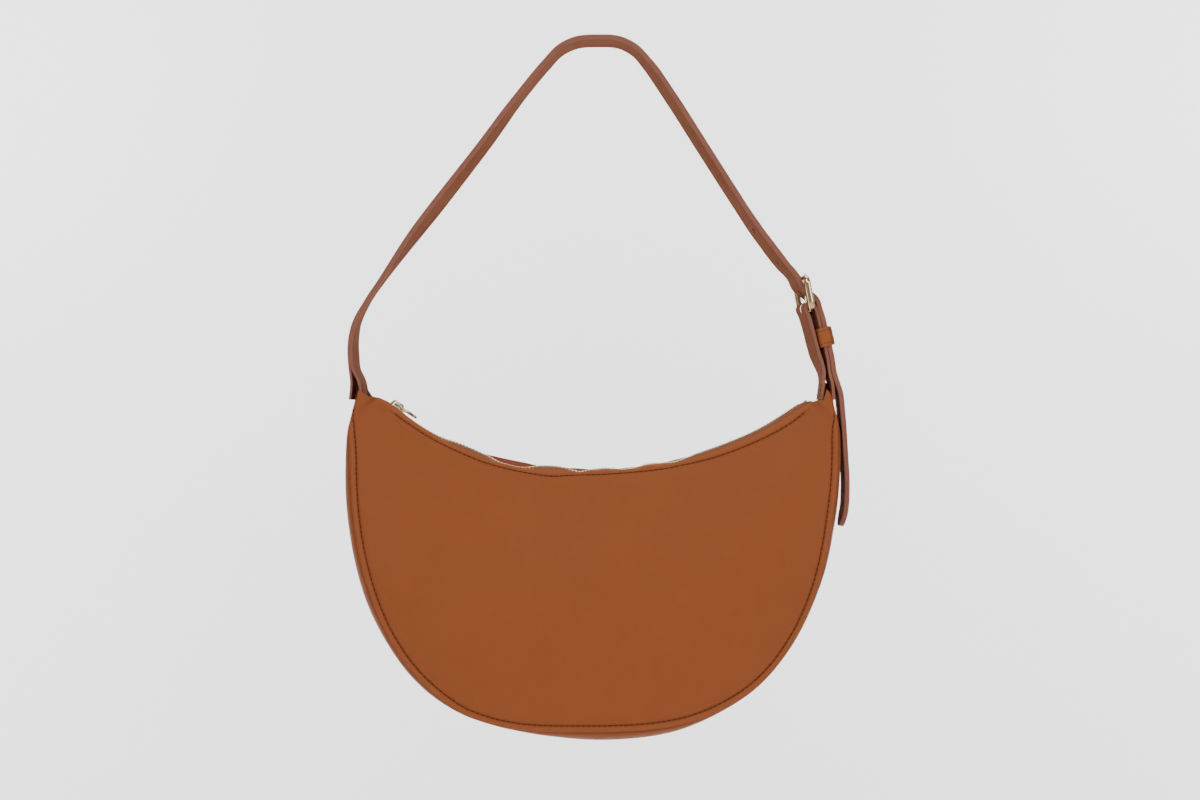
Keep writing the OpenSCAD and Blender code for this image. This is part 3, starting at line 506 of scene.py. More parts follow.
# The same gold plating with a darker base colour: a painted dark reflection on the zip pull
PULL_GOLD_PAINTED_DARK = polished("gold_plating_painted_dark", (0.46, 0.35, 0.20), (0.20, 0.15, 0.09), rough=0.2)
TOOTH_GOLD = polished("tooth_gold", (0.80, 0.55, 0.19), (0.42, 0.27, 0.09), rough=0.24)
LINING = cloth("lining_cloth", (0.36, 0.27, 0.18), (0.50, 0.40, 0.28), thread=0.45)
TAPE = cloth("zip_tape_cloth", (0.200, 0.066, 0.034), (0.310, 0.112, 0.056), thread=0.4)
THREAD = twisted_thread("sewing_thread", (0.060, 0.014, 0.005), (0.110, 0.026, 0.008))


# Making of pieces
def piece(name, bm, finishes, body="bag", replaces=(), sharp=42):
    """A finished mesh as an object that rides on a body."""
    mesh = bpy.data.meshes.new(name)
    bm.to_mesh(mesh)
    bm.free()
    mesh.set_sharp_from_angle(angle=math.radians(sharp))
    for finish in finishes:
        mesh.materials.append(finish)
    made = bpy.data.objects.new(name, mesh)
    bpy.context.scene.collection.objects.link(made)
    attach(made, body)
    if replaces:
        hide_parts(*replaces)
    return made


def cut_hole(bm, at, drawn, radius, margin):
    """Opens a round hole, or one drawn out along x, in a flat grid on lines one apart."""
    half_l, half_w = drawn / 2 + radius + margin, radius + margin
    inside = [
        f for f in bm.faces
        if abs(f.calc_center_median().x - at) < half_l and abs(f.calc_center_median().y) < half_w
    ]
    rim = {e for f in inside for e in f.edges}
    bmesh.ops.delete(bm, geom=inside, context="FACES")
    rim = [e for e in rim if e.is_valid and e.is_boundary]
    made = bmesh.ops.extrude_edge_only(bm, edges=rim)["geom"]
    for v in (g for g in made if isinstance(g, bmesh.types.BMVert)):
        centre = at + clamp(v.co.x - at, -drawn / 2, drawn / 2)
        way = Vector((v.co.x - centre, v.co.y)).normalized()
        v.co = (centre + way.x * radius, way.y * radius, 0)


def slab(us, vs, put, pick=None, tone=None, holes=(), closed=False):
    """A strip of a material with thickness: a flat grid with a column at each of us and a row at each of vs,
    with its holes cut, is given a second face. put(u, v, side) says where a point of its inner face, side 0,
    or its outer face, side 1, goes. pick(u, v, side) gives a face's finish, with walls between 0 and 1, and
    tone(u, v, side) a point's tone."""
    bm = bmesh.new()
    bmesh.ops.create_grid(bm, x_segments=len(us) - 1, y_segments=len(vs) - 1, size=0.5)
    for v in bm.verts:
        i, j = round((v.co.x + 0.5) * (len(us) - 1)), round((v.co.y + 0.5) * (len(vs) - 1))
        v.co = (us[i], vs[j], 0)
    for hole in holes:
        cut_hole(bm, *hole)
    made = bmesh.ops.extrude_face_region(bm, geom=bm.faces[:], use_keep_orig=True)["geom"]
    for v in (g for g in made if isinstance(g, bmesh.types.BMVert)):
        v.co.z = 1
    uv = bm.loops.layers.uv.new("UVMap")
    tones = bm.verts.layers.float.new("tone")
    for face in bm.faces:
        face.smooth = True
        c = face.calc_center_median()
        face.material_index = pick(*c) if pick else 0
        for loop in face.loops:
            loop[uv].uv = (loop.vert.co.x * MM, loop.vert.co.y * MM)
    for v in bm.verts:
        u, w, side = v.co
        if tone:
            v[tones] = tone(u, w, side)
        v.co = put(u, w, side) * MM
    if closed:
        bmesh.ops.remove_doubles(bm, verts=bm.verts, dist=1e-6)
    bmesh.ops.recalc_face_normals(bm, faces=bm.faces)
    return bm


# Panels
TOP_STEPS = [0, 0.25, 0.6, 1.1, 1.8, 2.4, 2.9, 3.2, 3.5, 3.8, 4.1, 4.6, 5.4, 7, 9]
SEAM_STEPS = [0, 0.2, 0.5, 0.9, 1.5, 2.1, 2.7, 3.2, 3.55, 3.85, 4.15, 4.5, 5.0, 5.8, 7.2, 9.5, 13]
MIDDLE_ROWS = 46
PANEL_ROWS = len(TOP_STEPS) + len(SEAM_STEPS) + MIDDLE_ROWS - 2
GROOVE_AT, GROOVE_DEEP, GROOVE_WIDE = 3.85, 0.62, 0.62
TOP_GROOVE_AT, TOP_GROOVE_DEEP, TOP_GROOVE_WIDE = 3.5, 0.5, 0.5
SEAM_ROUND, SEAM_DROP, TOP_ROUND, TOP_DROP = 1.6, 1.0, 0.8, 0.6
RIDGE_W, RIDGE_H = 3.3, 0.32
PILLOW_H, PILLOW_FADE, TOP_PILLOW_H, TOP_PILLOW_FADE = 0.45, 3.2, 0.3, 2.5
LEAST_SQUARE, BANDS_SHARE = 0.4, 0.92
PANEL_US = (
    span(-1, -SHOULDER_SHARE, 8)[:-1]
    + span(-SHOULDER_SHARE, -MOUTH_SHARE, 8)[:-1]
    + span(-MOUTH_SHARE, MOUTH_SHARE, 270)[:-1]
    + span(MOUTH_SHARE, SHOULDER_SHARE, 8)[:-1]
    + span(SHOULDER_SHARE, 1, 8)
)


class Column:
    """One column of a panel, with its length and how squarely it meets both edges."""

    def __init__(self, u):
        self.u = u
        self.top, self.seam = top_edge(u), seam_point(u * TIP_ANGLE)
        self.length = (self.seam - self.top).length
        way = (self.seam - self.top) / self.length
        self.at_seam = max(LEAST_SQUARE, way.dot(seam_normal(u * TIP_ANGLE)))
        self.at_top = max(LEAST_SQUARE, -way.dot(edge_normal(u)))
        bands = TOP_STEPS[-1] / self.at_top + SEAM_STEPS[-1] / self.at_seam
        self.scale = min(1, BANDS_SHARE * self.length / bands)

    def down(self, row, rim):
        """Distance down the column to a row, where the top rows are drawn out to a rim's size."""
        top_rows, seam_rows = len(TOP_STEPS) - 1, len(SEAM_STEPS) - 1
        top_band = self.scale * rim * TOP_STEPS[-1] / self.at_top
        seam_band = self.scale * SEAM_STEPS[-1] / self.at_seam
        if row <= top_rows:
            return self.scale * rim * TOP_STEPS[row] / self.at_top
        if row >= PANEL_ROWS - seam_rows:
            return self.length - self.scale * SEAM_STEPS[PANEL_ROWS - row] / self.at_seam
        share = (row - top_rows) / (PANEL_ROWS - seam_rows - top_rows)
        return mix(top_band, self.length - seam_band, share)


def seam_relief(d):
    """Height of the panel's face at a distance from its seam: a rounded edge, a ridge and a sewn groove."""
    edge = -SEAM_DROP * (1 - math.sqrt(1 - (1 - clamp(d / SEAM_ROUND)) ** 2))
    ridge = RIDGE_H * math.sin(math.pi * clamp(d / RIDGE_W))
    groove = -GROOVE_DEEP * math.exp(-(((d - GROOVE_AT) / GROOVE_WIDE) ** 2))
    beyond = math.exp(-(max(0, d - GROOVE_AT) / PILLOW_FADE))
    pillow = -PILLOW_H * (beyond if d > GROOVE_AT else ease(d / GROOVE_AT))
    return edge + ridge + groove + pillow


def top_relief(d, sewn):
    """Height of the panel's face at a distance from its top edge: a turned rim above a sewn groove."""
    edge = -TOP_DROP * (1 - math.sqrt(1 - (1 - clamp(d / TOP_ROUND)) ** 2))
    groove = -TOP_GROOVE_DEEP * sewn * math.exp(-(((d - TOP_GROOVE_AT) / TOP_GROOVE_WIDE) ** 2))
    pillow = -TOP_PILLOW_H * math.exp(-max(0, d - TOP_GROOVE_AT) / TOP_PILLOW_FADE)
    return edge + groove + pillow


COLUMNS = {}


def column(u):
    if u not in COLUMNS:
        COLUMNS[u] = Column(u)
    return COLUMNS[u]


def soft_swell(x, z, seed):
    """Slow unevenness of the hanging leather."""
    broad = noise.noise(Vector((x / 62, z / 48, seed)))
    small = noise.noise(Vector((x / 24, z / 20, seed + 9)))
    return 0.8 * broad + 0.3 * small


class Panel:
    """The front or the back panel, with its own hang."""

    def __init__(self, side, rise, sink, seed):
        self.side, self.rise, self.sink, self.seed = side, rise, sink, seed

    def rim(self, u):
        """Width of the turned rim above the sewn groove, against the even one."""
        angle = mouth_angle(u)
        width = along(TOP_GROOVE, angle) + along(self.rise, angle)
        return clamp(width / TOP_GROOVE_AT, RIM_LEAST, RIM_MOST)

    def hang(self, p, u, v):
        """Moves a place of the part's panel to where the leather hangs, on this panel's side of the bag."""
        fade = 1 - ease(v * HANG_FADE)
        shift = edge_shift(u, self.rise) * fade + plane(0, tip_sink(u) * self.sink * (1 + POINT_LEAN * v))
        stand = TIP_STAND * ease((abs(u) - STAND_FROM) / STAND_EASE) * (1 - clamp(v) ** 2)
        return Vector((p.x + shift.x, (p.y - stand) * self.side, p.z + shift.y))

    def distances(self, u, down):
        """Distances of a place from the seam and from the top edge, as on an even panel."""
        c = column(u)
        return (c.length - down) * c.at_seam / c.scale, down * c.at_top / c.scale / self.rim(u)

    def sewn(self, u):
        """How plainly the top groove shows: it ends before both tips."""
        angle = MOUTH_ANGLE * u / MOUTH_SHARE
        shown = ease((angle + GROOVE_END) / GROOVE_EASE_LEFT)
        return shown * (1 - ease((angle - GROOVE_END) / GROOVE_EASE_RIGHT))

    def face(self, u, down, out=0.0):
        """A place on the outer face, down a column, moved out from it."""
        c = column(u)
        v = down / c.length
        p = panel_point(u, v, 0)
        d_seam, d_top = self.distances(u, down)
        relief = (seam_relief(d_seam) + top_relief(d_top, self.sewn(u))) * c.scale
        relief += soft_swell(p.x, p.z, self.seed) * ease(d_seam / 25) * ease(d_top / 12)
        p.y -= relief + out
        return self.hang(p, u, v)

    def bm(self):
        def put(u, row, side):
            down = column(u).down(round(row), self.rim(u))
            if side:
                return self.face(u, down)
            v = down / column(u).length
            return self.hang(panel_point(u, v, PANEL_T), u, v)

        # The panel's tone: painted shade in the sewn grooves and painted highlight along the top rim and the
        # seam's ridge
        def tone(u, row, side):
            d_seam, d_top = self.distances(u, column(u).down(round(row), self.rim(u)))
            # groove: where shade is painted into the seam's and the top edge's sewn grooves
            groove = math.exp(-(((d_seam - GROOVE_AT) / 0.45) ** 2))
            groove += self.sewn(u) * math.exp(-(((d_top - TOP_GROOVE_AT) / 0.4) ** 2))
            # rim: where a highlight is painted onto the turned top rim and the seam's ridge
            rim = 0.4 * (1 - ease((d_top - 1.2) / 1.6)) + 0.2 * (1 - ease((d_seam - 2.6) / 0.8))
            return clamp(rim - 0.55 * groove, -1, 1)

        def pick(u, row, side):
            return 1 if side == 0 else 0

        return slab(PANEL_US, list(range(PANEL_ROWS + 1)), put, pick, tone)


FRONT = Panel(1, FRONT_RISE, sink=1, seed=1.7)
BACK = Panel(-1, BACK_RISE, sink=0, seed=6.3)
for name, panel in (("front", FRONT), ("back", BACK)):
    piece(
        f"{name}_panel_leather", panel.bm(), [BODY_LEATHER, FLESH_SIDE],
        replaces=[f"{name}_panel"],
    )


# Gusset
FLANGE_SPAN = 0.2


def edge_width(u):
    return min(FLANGE_W, (top_edge(u) - seam_point(u * TIP_ANGLE)).length / 6)


def band_point(u, q, half, swell, wall, edge):
    """A place across the gusset: q runs from -1 at the front to 1 at the back, past both over the flanges."""
    p, n = seam_point(u * TIP_ANGLE), seam_normal(u * TIP_ANGLE)
    if abs(q) > 1:
        out, y = -edge * (abs(q) - 1) / FLANGE_SPAN, math.copysign(half - wall, q)
    else:
        a = math.pi / 2 * (q + 1)
        out, y = (swell - wall) * math.sin(a), -(half - wall) * math.cos(a)
    return Vector((BAG_X + p.x + n.x * out, y, p.y + n.y * out))


def gusset_put(u, q, side):
    z = seam_point(u * TIP_ANGLE).y
    ripple = 0.25 * noise.noise(Vector((u * 9, q * 1.2, 4.4))) * (1 - min(1, abs(q)) ** 4)
    ripple *= ease((SHOULDER_Z - z) / 30)
    return band_point(
        u, q, half_depth(z) - PANEL_T - SEAM_GAP, along(GUSSET_SWELL, u * TIP_ANGLE) + side * ripple,
        0 if side else GUSSET_T, edge_width(u),
    )


def gusset_painted_shade(u, q, side):
    """Painted shade: darker at both seams and at its ends between the strap's layers, where shade falls."""
    return clamp(-0.6 * ease((abs(q) - 0.9) * 12) - ease((abs(u) - 0.975) / 0.015), -1, 1)


ACROSS = [-1.2, -1.1] + [math.copysign(abs(q) ** 0.85, q) for q in span(-1, 1, 30)] + [1.1, 1.2]
piece(
    "gusset_leather",
    slab(PANEL_US, ACROSS, gusset_put, tone=gusset_painted_shade),
    [BODY_LEATHER], replaces=["gusset"],
)

# Lining
FLANGE_ROOM = CROWN * math.sin(math.pi * FLANGE_W / (WIDEST_Z - BOTTOM_Z))
LINING_TOP_INSET = PANEL_T + 2 * SEAM_GAP
LINING_SEAM_INSET = PANEL_T + GUSSET_T + 2 * SEAM_GAP + 2 * SEAT_GAP + FLANGE_ROOM
LINING_END_SHARE, LINING_EDGE_SHARE, LINING_SETTLE_SHARE = 0.89, 0.97, 0.5
LINING_SLACK = 0.35
LINING_US = span(-LINING_END_SHARE, LINING_END_SHARE, 120)


def lining_put(mirrored):
    def put(u, v, side):
        c = column(u)
        down = mix((TAPE_H + SEAT_GAP) / c.length, LINING_EDGE_SHARE, v)
        inset = mix(LINING_TOP_INSET, LINING_SEAM_INSET, clamp(down / LINING_SETTLE_SHARE))
        p = panel_point(u, down, inset + LINING_T * (1 - side))
        fold = 1 + noise.noise(Vector((p.x / 16, p.z / 30, 2.2)))
        p.y += LINING_SLACK * fold * ease(v * 4) * ease((1 - v) * 4)
        return Vector((p.x, -p.y if mirrored else p.y, p.z))

    return put


def lining_band_put(u, q, side):
    half = half_depth(seam_point(u * TIP_ANGLE).y) - LINING_SEAM_INSET - LINING_T - SEAM_GAP
    swell = along(GUSSET_SWELL, u * TIP_ANGLE) - GUSSET_T - 2 * SEAT_GAP
    return band_point(u, q, half, swell, 0 if side else LINING_T, 0)


for name, mirrored in (("front", False), ("back", True)):
    panel = piece(
        f"lining_{name}_cloth", slab(LINING_US, span(0, 1, 40), lining_put(mirrored)), [LINING],
        replaces=[f"lining_{name}"],
    )
band = piece(
    "lining_gusset_cloth", slab(LINING_US, span(-1, 1, 20), lining_band_put), [LINING],
    replaces=["lining_gusset"],
)

# Zip: everything on it is turned about the centre of the mouth's curve
CHAIN_R = MOUTH_R + TAPE_T / 2
PITCH_ANGLE = math.degrees(TOOTH_PITCH / CHAIN_R)
SLIDER_ANGLE = math.degrees(SLIDER_IN / CHAIN_R) - MOUTH_ANGLE
TOP_STOP_ANGLE = SLIDER_ANGLE - math.degrees(SLIDER_L / 2 / CHAIN_R) - PITCH_ANGLE
FIRST_TOOTH = TOP_STOP_ANGLE + 0.75 * PITCH_ANGLE
PART_ANGLE = FIRST_TOOTH + (PARTED_TEETH - 0.25) * PITCH_ANGLE
END_ANGLE = MOUTH_ANGLE + 0.3
STOP_ANGLE = MOUTH_ANGLE - 0.6
TAPE_Y = MOUTH_W / 2 - PANEL_T - SEAM_GAP


def on_mouth(angle):
    """The frame of the hanging zip at an angle along it, in metres: x along it, y to the back and z up."""
    step = 0.3
    fall = along(ZIP_DROP, angle + step) - along(ZIP_DROP, angle - step)
    return (
        Matrix.Translation(place(BAG_X, 0, MOUTH_Z))
        @ Matrix.Rotation(-math.radians(angle), 4, "Y")
        @ Matrix.Translation(place(0, 0, -CHAIN_R - along(ZIP_DROP, angle)))
        @ Matrix.Rotation(math.atan2(fall, math.radians(2 * step) * CHAIN_R), 4, "Y")
    )


def tape_put(mirrored):
    corner = TAPE_Y - TAPE_EDGE

    def put(angle, w, side):
        r = CHAIN_R - TAPE_T / 2 + along(ZIP_DROP, angle)
        if w < corner:
            y = TAPE_EDGE + max(w, ROW_PART if angle < PART_ANGLE else 0)
            r += TAPE_T * (1 - side)
        else:
            share = (w - corner) / TAPE_H
            y = TAPE_Y + TAPE_LEAN * share - TAPE_T * (1 - side)
            r += TAPE_T * (1 - side) * (1 - share) + TAPE_H * share
        a = math.radians(angle)
        return Vector((BAG_X + r * math.sin(a), y if mirrored else -y, MOUTH_Z - r * math.cos(a)))

    return put


TAPE_WS = [0, 0.3, 0.9, 1.5, 2.1, 2.7, 3.3, 3.9, 4.1, 4.6, 5.4, 6.6, 8, 10, 12, 13.1]
TAPE_ANGLES = span(-END_ANGLE, PART_ANGLE - 0.02, 6) + span(PART_ANGLE + 0.02, END_ANGLE, 150)


def arc_angles(put):
    """Angles along the zip are given to a slab as lengths, so that the weave keeps its scale."""
    return lambda s, w, side: put(math.degrees(s / CHAIN_R), w, side)


for name, mirrored in (("front", False), ("back", True)):
    piece(
        f"zip_tape_{name}_cloth",
        slab([math.radians(a) * CHAIN_R for a in TAPE_ANGLES], TAPE_WS, arc_angles(tape_put(mirrored))),
        [TAPE], replaces=[f"zip_tape_{name}"], sharp=60,
    )


TOOTH_ROUND, TOOTH_BACK_DROP = 0.22, 0.12


def add_tooth(bm, matrix):
    """One tooth: a head that narrows past the middle of the zip, and two legs over the tape's edge."""
    head_from, leg_h = -TAPE_EDGE + SEAM_GAP, TOOTH_H / 2 - TAPE_T / 2 - SEAM_GAP
    head = bmesh.ops.create_cube(bm, size=1)["verts"]
    for v in head:
        nose = v.co.y > 0
        v.co.x *= TOOTH_L * (0.72 if nose else 1)
        v.co.z *= TOOTH_H * (0.66 if nose else 1)
        v.co.y = TOOTH_REACH if nose else head_from
    edges = list({e for v in head for e in v.link_edges if all(o.co.y > 0 for o in e.verts)})
    rounded = bmesh.ops.bevel(
        bm, geom=edges, offset=TOOTH_ROUND, offset_type="OFFSET", segments=2, profile=0.5,
        affect="EDGES", material=-1,
    )["verts"]
    legs = []
    for end in (-1, 1):
        leg = bmesh.ops.create_cube(bm, size=1)["verts"]
        for v in leg:
            back = v.co.y < 0
            v.co.x *= TOOTH_L * (0.9 if back else 1)
            drop = TOOTH_BACK_DROP if back and v.co.z * end > 0 else 0
            height = leg_h * (0.5 - v.co.z * end) * (0.85 if back else 1)
            v.co.z = end * (TOOTH_H / 2 - height - drop)
            v.co.y = head_from - TOOTH_LEG if back else head_from
        legs += leg
    verts = list(set([v for v in head if v.is_valid] + rounded + legs))
    bmesh.ops.transform(bm, matrix=matrix @ Matrix.Scale(MM, 4), verts=verts)


def tooth_row(shift, mirrored):
    bm = bmesh.new()
    flip = Matrix.Scale(-1, 4, Vector((0, 1, 0))) if mirrored else Matrix.Identity(4)
    for i in range(TOOTH_COUNT):
        angle = FIRST_TOOTH + (i + shift) * PITCH_ANGLE
        moved = -ROW_PART if angle < PART_ANGLE else 0
        add_tooth(bm, flip @ on_mouth(angle) @ Matrix.Translation(place(0, moved, 0)))
    bmesh.ops.recalc_face_normals(bm, faces=bm.faces)
    for face in bm.faces:
        face.smooth = True
    return bm


for name, shift, mirrored in (("front", 0, False), ("back", 0.5, True)):
    piece(
        f"zip_teeth_{name}_metal", tooth_row(shift, mirrored), [TOOTH_GOLD],
        replaces=[f"zip_teeth_{name}"], sharp=35,
    )


def rounded_copy(node, body, round_by, finish, shift=(0, 0, 0)):
    """A metal CAD piece with its edges rounded, moved with the zip that it sits on."""
    bm = bmesh.new()
    bm.from_mesh(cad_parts[node].data)
    bmesh.ops.remove_doubles(bm, verts=bm.verts, dist=2e-6)
    bmesh.ops.dissolve_limit(bm, angle_limit=math.radians(1), verts=bm.verts, edges=bm.edges)
    if round_by:
        edges = [e for e in bm.edges if e.is_manifold and e.calc_face_angle(0) > math.radians(28)]
        bmesh.ops.bevel(
            bm, geom=edges, offset=round_by * MM, offset_type="OFFSET", segments=2, profile=0.5,
            affect="EDGES", clamp_overlap=True, material=-1,
        )
    bmesh.ops.translate(bm, vec=place(*shift), verts=bm.verts)
    for face in bm.faces:
        face.smooth = True
    return piece(f"{node}_metal", bm, [finish], body, [node], sharp=38)


rounded_copy("zip_top_stops", "bag", 0.15, TOOTH_GOLD)
stop_drop, stop_way = along(ZIP_DROP, STOP_ANGLE), math.radians(STOP_ANGLE)
stop_shift = (stop_drop * math.sin(stop_way), 0, -stop_drop * math.cos(stop_way))
rounded_copy("zip_bottom_stop", "bag", 0.15, TOOTH_GOLD, stop_shift)
rounded_copy("zip_slider", "slider", 0.18, GOLD)
# The pull takes the darkened plating, a painted dark reflection
rounded_copy("zip_pull", "pull", 0.16, PULL_GOLD_PAINTED_DARK)
rounded_copy("buckle_frame", "buckle", 0, GOLD)
rounded_copy("buckle_prong", "prong", 0.3, GOLD)


# Routes of the leather strips
HEEL = plane(HEEL_X, -HEEL_DROP)
ALONG = plane(-math.sin(math.radians(BUCKLE_LEAN)), math.cos(math.radians(BUCKLE_LEAN)))
OUTWARD = plane(math.cos(math.radians(BUCKLE_LEAN)), math.sin(math.radians(BUCKLE_LEAN)))
FOLD_R = BAR_R + BAR_GAP + CHAPE_T / 2
LANE_IN = BAR_R + LAY_GAP + STRAP_T / 2
LANE_OUT = BAR_R + BAR_GAP + CHAPE_T + LAY_GAP + STRAP_T / 2
LEFT_RUN_SHARES = [
    (0.09, 0.006), (0.154, 0.029), (0.208, 0.071), (0.317, 0.17), (0.462, 0.318), (0.615, 0.467),
    (0.768, 0.615), (0.874, 0.727), (0.94, 0.8), (0.988, 0.874), (1, 0.939), (0.997, 0.99), (0.996, 1),
]
RIGHT_RUN_SHARES = [
    (0.113, 0.008), (0.188, 0.04), (0.251, 0.097), (0.367, 0.233), (0.525, 0.436), (0.683, 0.639),
    (0.847, 0.843), (0.93, 0.933),
]
CROSS_SHARES = [(0.97, 0), (0.81, 0.06), (0.64, 0.24), (0.48, 0.52), (0.33, 0.81), (0.13, 0.98), (-0.04, 1)]
TAIL_SHARES = [
    (0.25, 0.065), (0.5, 0.13), (0.68, 0.26), (0.89, 0.52), (1.01, 0.755), (0.91, 0.894), (0.64, 1),
]
RUN_SHARES = [0, 0.1, 0.5, 0.9, 1]
INNER_LEG_SHARES = [
    (0.104, 0.063), (0.368, 0.293), (0.544, 0.481), (0.688, 0.616), (0.88, 0.752), (1, 0.856),
]


def by_buckle(u, v):
    return HEEL + u * ALONG + v * OUTWARD


SEAT_TOP = plane(0, STRAP_T / 2)
CROSS_POINTS = [by_buckle(a * BUCKLE_PITCH, mix(-LANE_IN, LANE_OUT, b)) for a, b in CROSS_SHARES]
RUN_WAY = plane(math.sin(math.radians(RUN_LEAN)), -math.cos(math.radians(RUN_LEAN)))
RUN_SIDE = plane(math.cos(math.radians(RUN_LEAN)), math.sin(math.radians(RUN_LEAN)))
RUN_START = HEEL + plane(RUN_OUT, -RUN_BELOW)
RUN_END = RUN_START + RUN_WAY * RUN_L
OVER_RUN = RUN_SIDE * (CHAPE_T / 2 + LAY_GAP + STRAP_T / 2)
LEFT_RUN = [SEAT_TOP - plane(a * LEFT_REACH, b * LEFT_FALL) for a, b in reversed(LEFT_RUN_SHARES)]
RIGHT_END = CROSS_POINTS[0] - SEAT_TOP
RIGHT_RUN = [SEAT_TOP + plane(a * RIGHT_END.x, b * RIGHT_END.y) for a, b in RIGHT_RUN_SHARES]
TAIL_RUN = [RUN_END + OVER_RUN + plane(a * TAIL_BOW, -b * TAIL_FALL) for a, b in TAIL_SHARES]
RUN_POINTS = [mix(RUN_START, RUN_END, s) for s in RUN_SHARES]
STRAP_ROUTE = LEFT_RUN + [SEAT_TOP] + RIGHT_RUN + CROSS_POINTS + [p + OVER_RUN for p in RUN_POINTS] + TAIL_RUN
LEG_TOP_Z = TIP_Z - SEAT_GAP
LEG_FOOT_Z = SHOULDER_Z + 1


def outer_leg(z, t):
    return outline_x(z) + TIP_BULGE + SEAT_GAP + t / 2


def inner_leg(z, t):
    return tip_inner_x(z) - SEAT_GAP - t / 2


def left_leg(leg, shift):
    return [plane(BAG_X - leg(z, LAYER_T) + shift, z) for z in (LEG_FOOT_Z, LEG_TOP_Z)]


OUTER_ROUTE = left_leg(outer_leg, LAYER_T / 2) + STRAP_ROUTE
INNER_ROUTE = left_leg(inner_leg, -LAYER_T / 2) + STRAP_ROUTE
FOLD_POINTS = [
    by_buckle(FOLD_R * math.cos(math.radians(a)), FOLD_R * math.sin(math.radians(a)))
    for a in range(-90, 91, 20)
]
INNER_TOP = plane(BAG_X + inner_leg(LEG_TOP_Z, CHAPE_T), LEG_TOP_Z)
LEG_WAY = INNER_TOP - FOLD_POINTS[0]
INNER_LEG = [plane(BAG_X + inner_leg(LEG_FOOT_Z, CHAPE_T), LEG_FOOT_Z), INNER_TOP] + [
    FOLD_POINTS[0] + plane(a * LEG_WAY.x, b * LEG_WAY.y) for a, b in reversed(INNER_LEG_SHARES)
]
CHAPE_ROUTE = (
    INNER_LEG + FOLD_POINTS + RUN_POINTS
    + [plane(BAG_X + outer_leg(z, CHAPE_T), z) for z in (LEG_TOP_Z, LEG_FOOT_Z)]
)

TWIST_FROM = -(HEEL_DROP - BUCKLE_PITCH) * 0.7
TWIST_FULL = -(HEEL_DROP - BUCKLE_PITCH) * 0.96
UNTWIST_FROM = mix(RUN_START.y, RUN_END.y, 0.7)


def turn_at(p):
    """Turn of a strip at a level: full at the buckle, none at the seat and at the tips."""
    if p.x < 0:
        return 0
    on = ease((p.y - TWIST_FROM) / (TWIST_FULL - TWIST_FROM))
    off = 1 - ease((p.y - UNTWIST_FROM) / (LEG_TOP_Z - UNTWIST_FROM))
    return math.radians(TWIST) * on * off


def turned(p):
    if p.x < 0:
        return Vector((p.x, 0, p.y))
    a, x = turn_at(p), p.x - HEEL_X
    return Vector((HEEL_X + x * math.cos(a), x * math.sin(a), p.y))


# Extra turn of the strap about its own length, front edge outwards, by its level on each run
LEFT_ROLL = [
    (-218, 4.5), (-207, 4.5), (-193, 5.6), (-181, 3.6), (-169, -0.5), (-157, -3.9), (-144, -3),
    (-132, 1.7), (-120, 6.6), (-108, 9.6), (-96, 10.4), (-71, 9), (-47, 7.4), (-35, 4.8), (-10, 3.9),
    (0, 3.8),
]
RIGHT_ROLL = [(-141, 0), (-130, 3.6), (-120, 5.4), (-108, 8.6), (-22, 9), (-10, 6), (0, 3.8)]


def roll_at(p):
    return math.radians(along(LEFT_ROLL if p.x < 0 else RIGHT_ROLL, p.y))


class Strip:
    """A strip of leather along a route. Its point() turns a length along it, a distance across it and
    a height over its middle into a place."""

    FINE = 12

    def __init__(self, route, rolled=False):
        flat = [
            self.span_point(route, i, k / self.FINE) for i in range(len(route) - 1) for k in range(self.FINE)
        ]
        flat.append(route[-1])
        self.lengths = [0.0]
        for a, b in zip(flat, flat[1:]):
            self.lengths.append(self.lengths[-1] + (b - a).length)
        self.end = self.lengths[-1]
        self.centres = [turned(p) for p in flat]
        self.frames = []
        for i, p in enumerate(flat):
            way = (self.centres[min(len(flat) - 1, i + 1)] - self.centres[max(0, i - 1)]).normalized()
            a = turn_at(p)
            across = Vector((-math.sin(a), math.cos(a), 0))
            across = (across - across.dot(way) * way).normalized()
            if rolled:
                across = Matrix.Rotation(-roll_at(p), 3, way) @ across
            self.frames.append((way, across))

    @staticmethod
    def way(p, i):
        if i == 0 or i == len(p) - 1:
            return (p[max(i, 1)] - p[max(i, 1) - 1]).normalized()
        a, b = p[i] - p[i - 1], p[i + 1] - p[i]
        return (a.normalized() * b.length + b.normalized() * a.length) / (a.length + b.length)

    @classmethod
    def span_point(cls, p, i, s):
        length = (p[i + 1] - p[i]).length
        a, b = cls.way(p, i) * length, cls.way(p, i + 1) * length
        return (
            p[i] * (2 * s**3 - 3 * s * s + 1) + a * (s**3 - 2 * s * s + s)
            + p[i + 1] * (3 * s * s - 2 * s**3) + b * (s**3 - s * s)
        )

    def knot(self, i):
        """Length along the strip up to one of its route's points."""
        return self.lengths[i * self.FINE]

    def frame(self, s):
        i = min(len(self.lengths) - 2, max(0, bisect_right(self.lengths, s) - 1))
        share = (s - self.lengths[i]) / (self.lengths[i + 1] - self.lengths[i])
        way = mix(self.frames[i][0], self.frames[i + 1][0], share).normalized()
        across = mix(self.frames[i][1], self.frames[i + 1][1], share)
        across = (across - across.dot(way) * way).normalized()
        return mix(self.centres[i], self.centres[i + 1], share), way, across, way.cross(across)

    def point(self, s, w, n):
        centre, _, across, normal = self.frame(s)
        return centre + across * w + normal * n


def rounded_drop(w, half, radius):
    """How far a strip's face drops towards its edge, as a quarter round."""
    d = clamp((radius - (half - abs(w))) / radius)
    return radius * (1 - math.sqrt(max(0.0, 1 - d * d)))


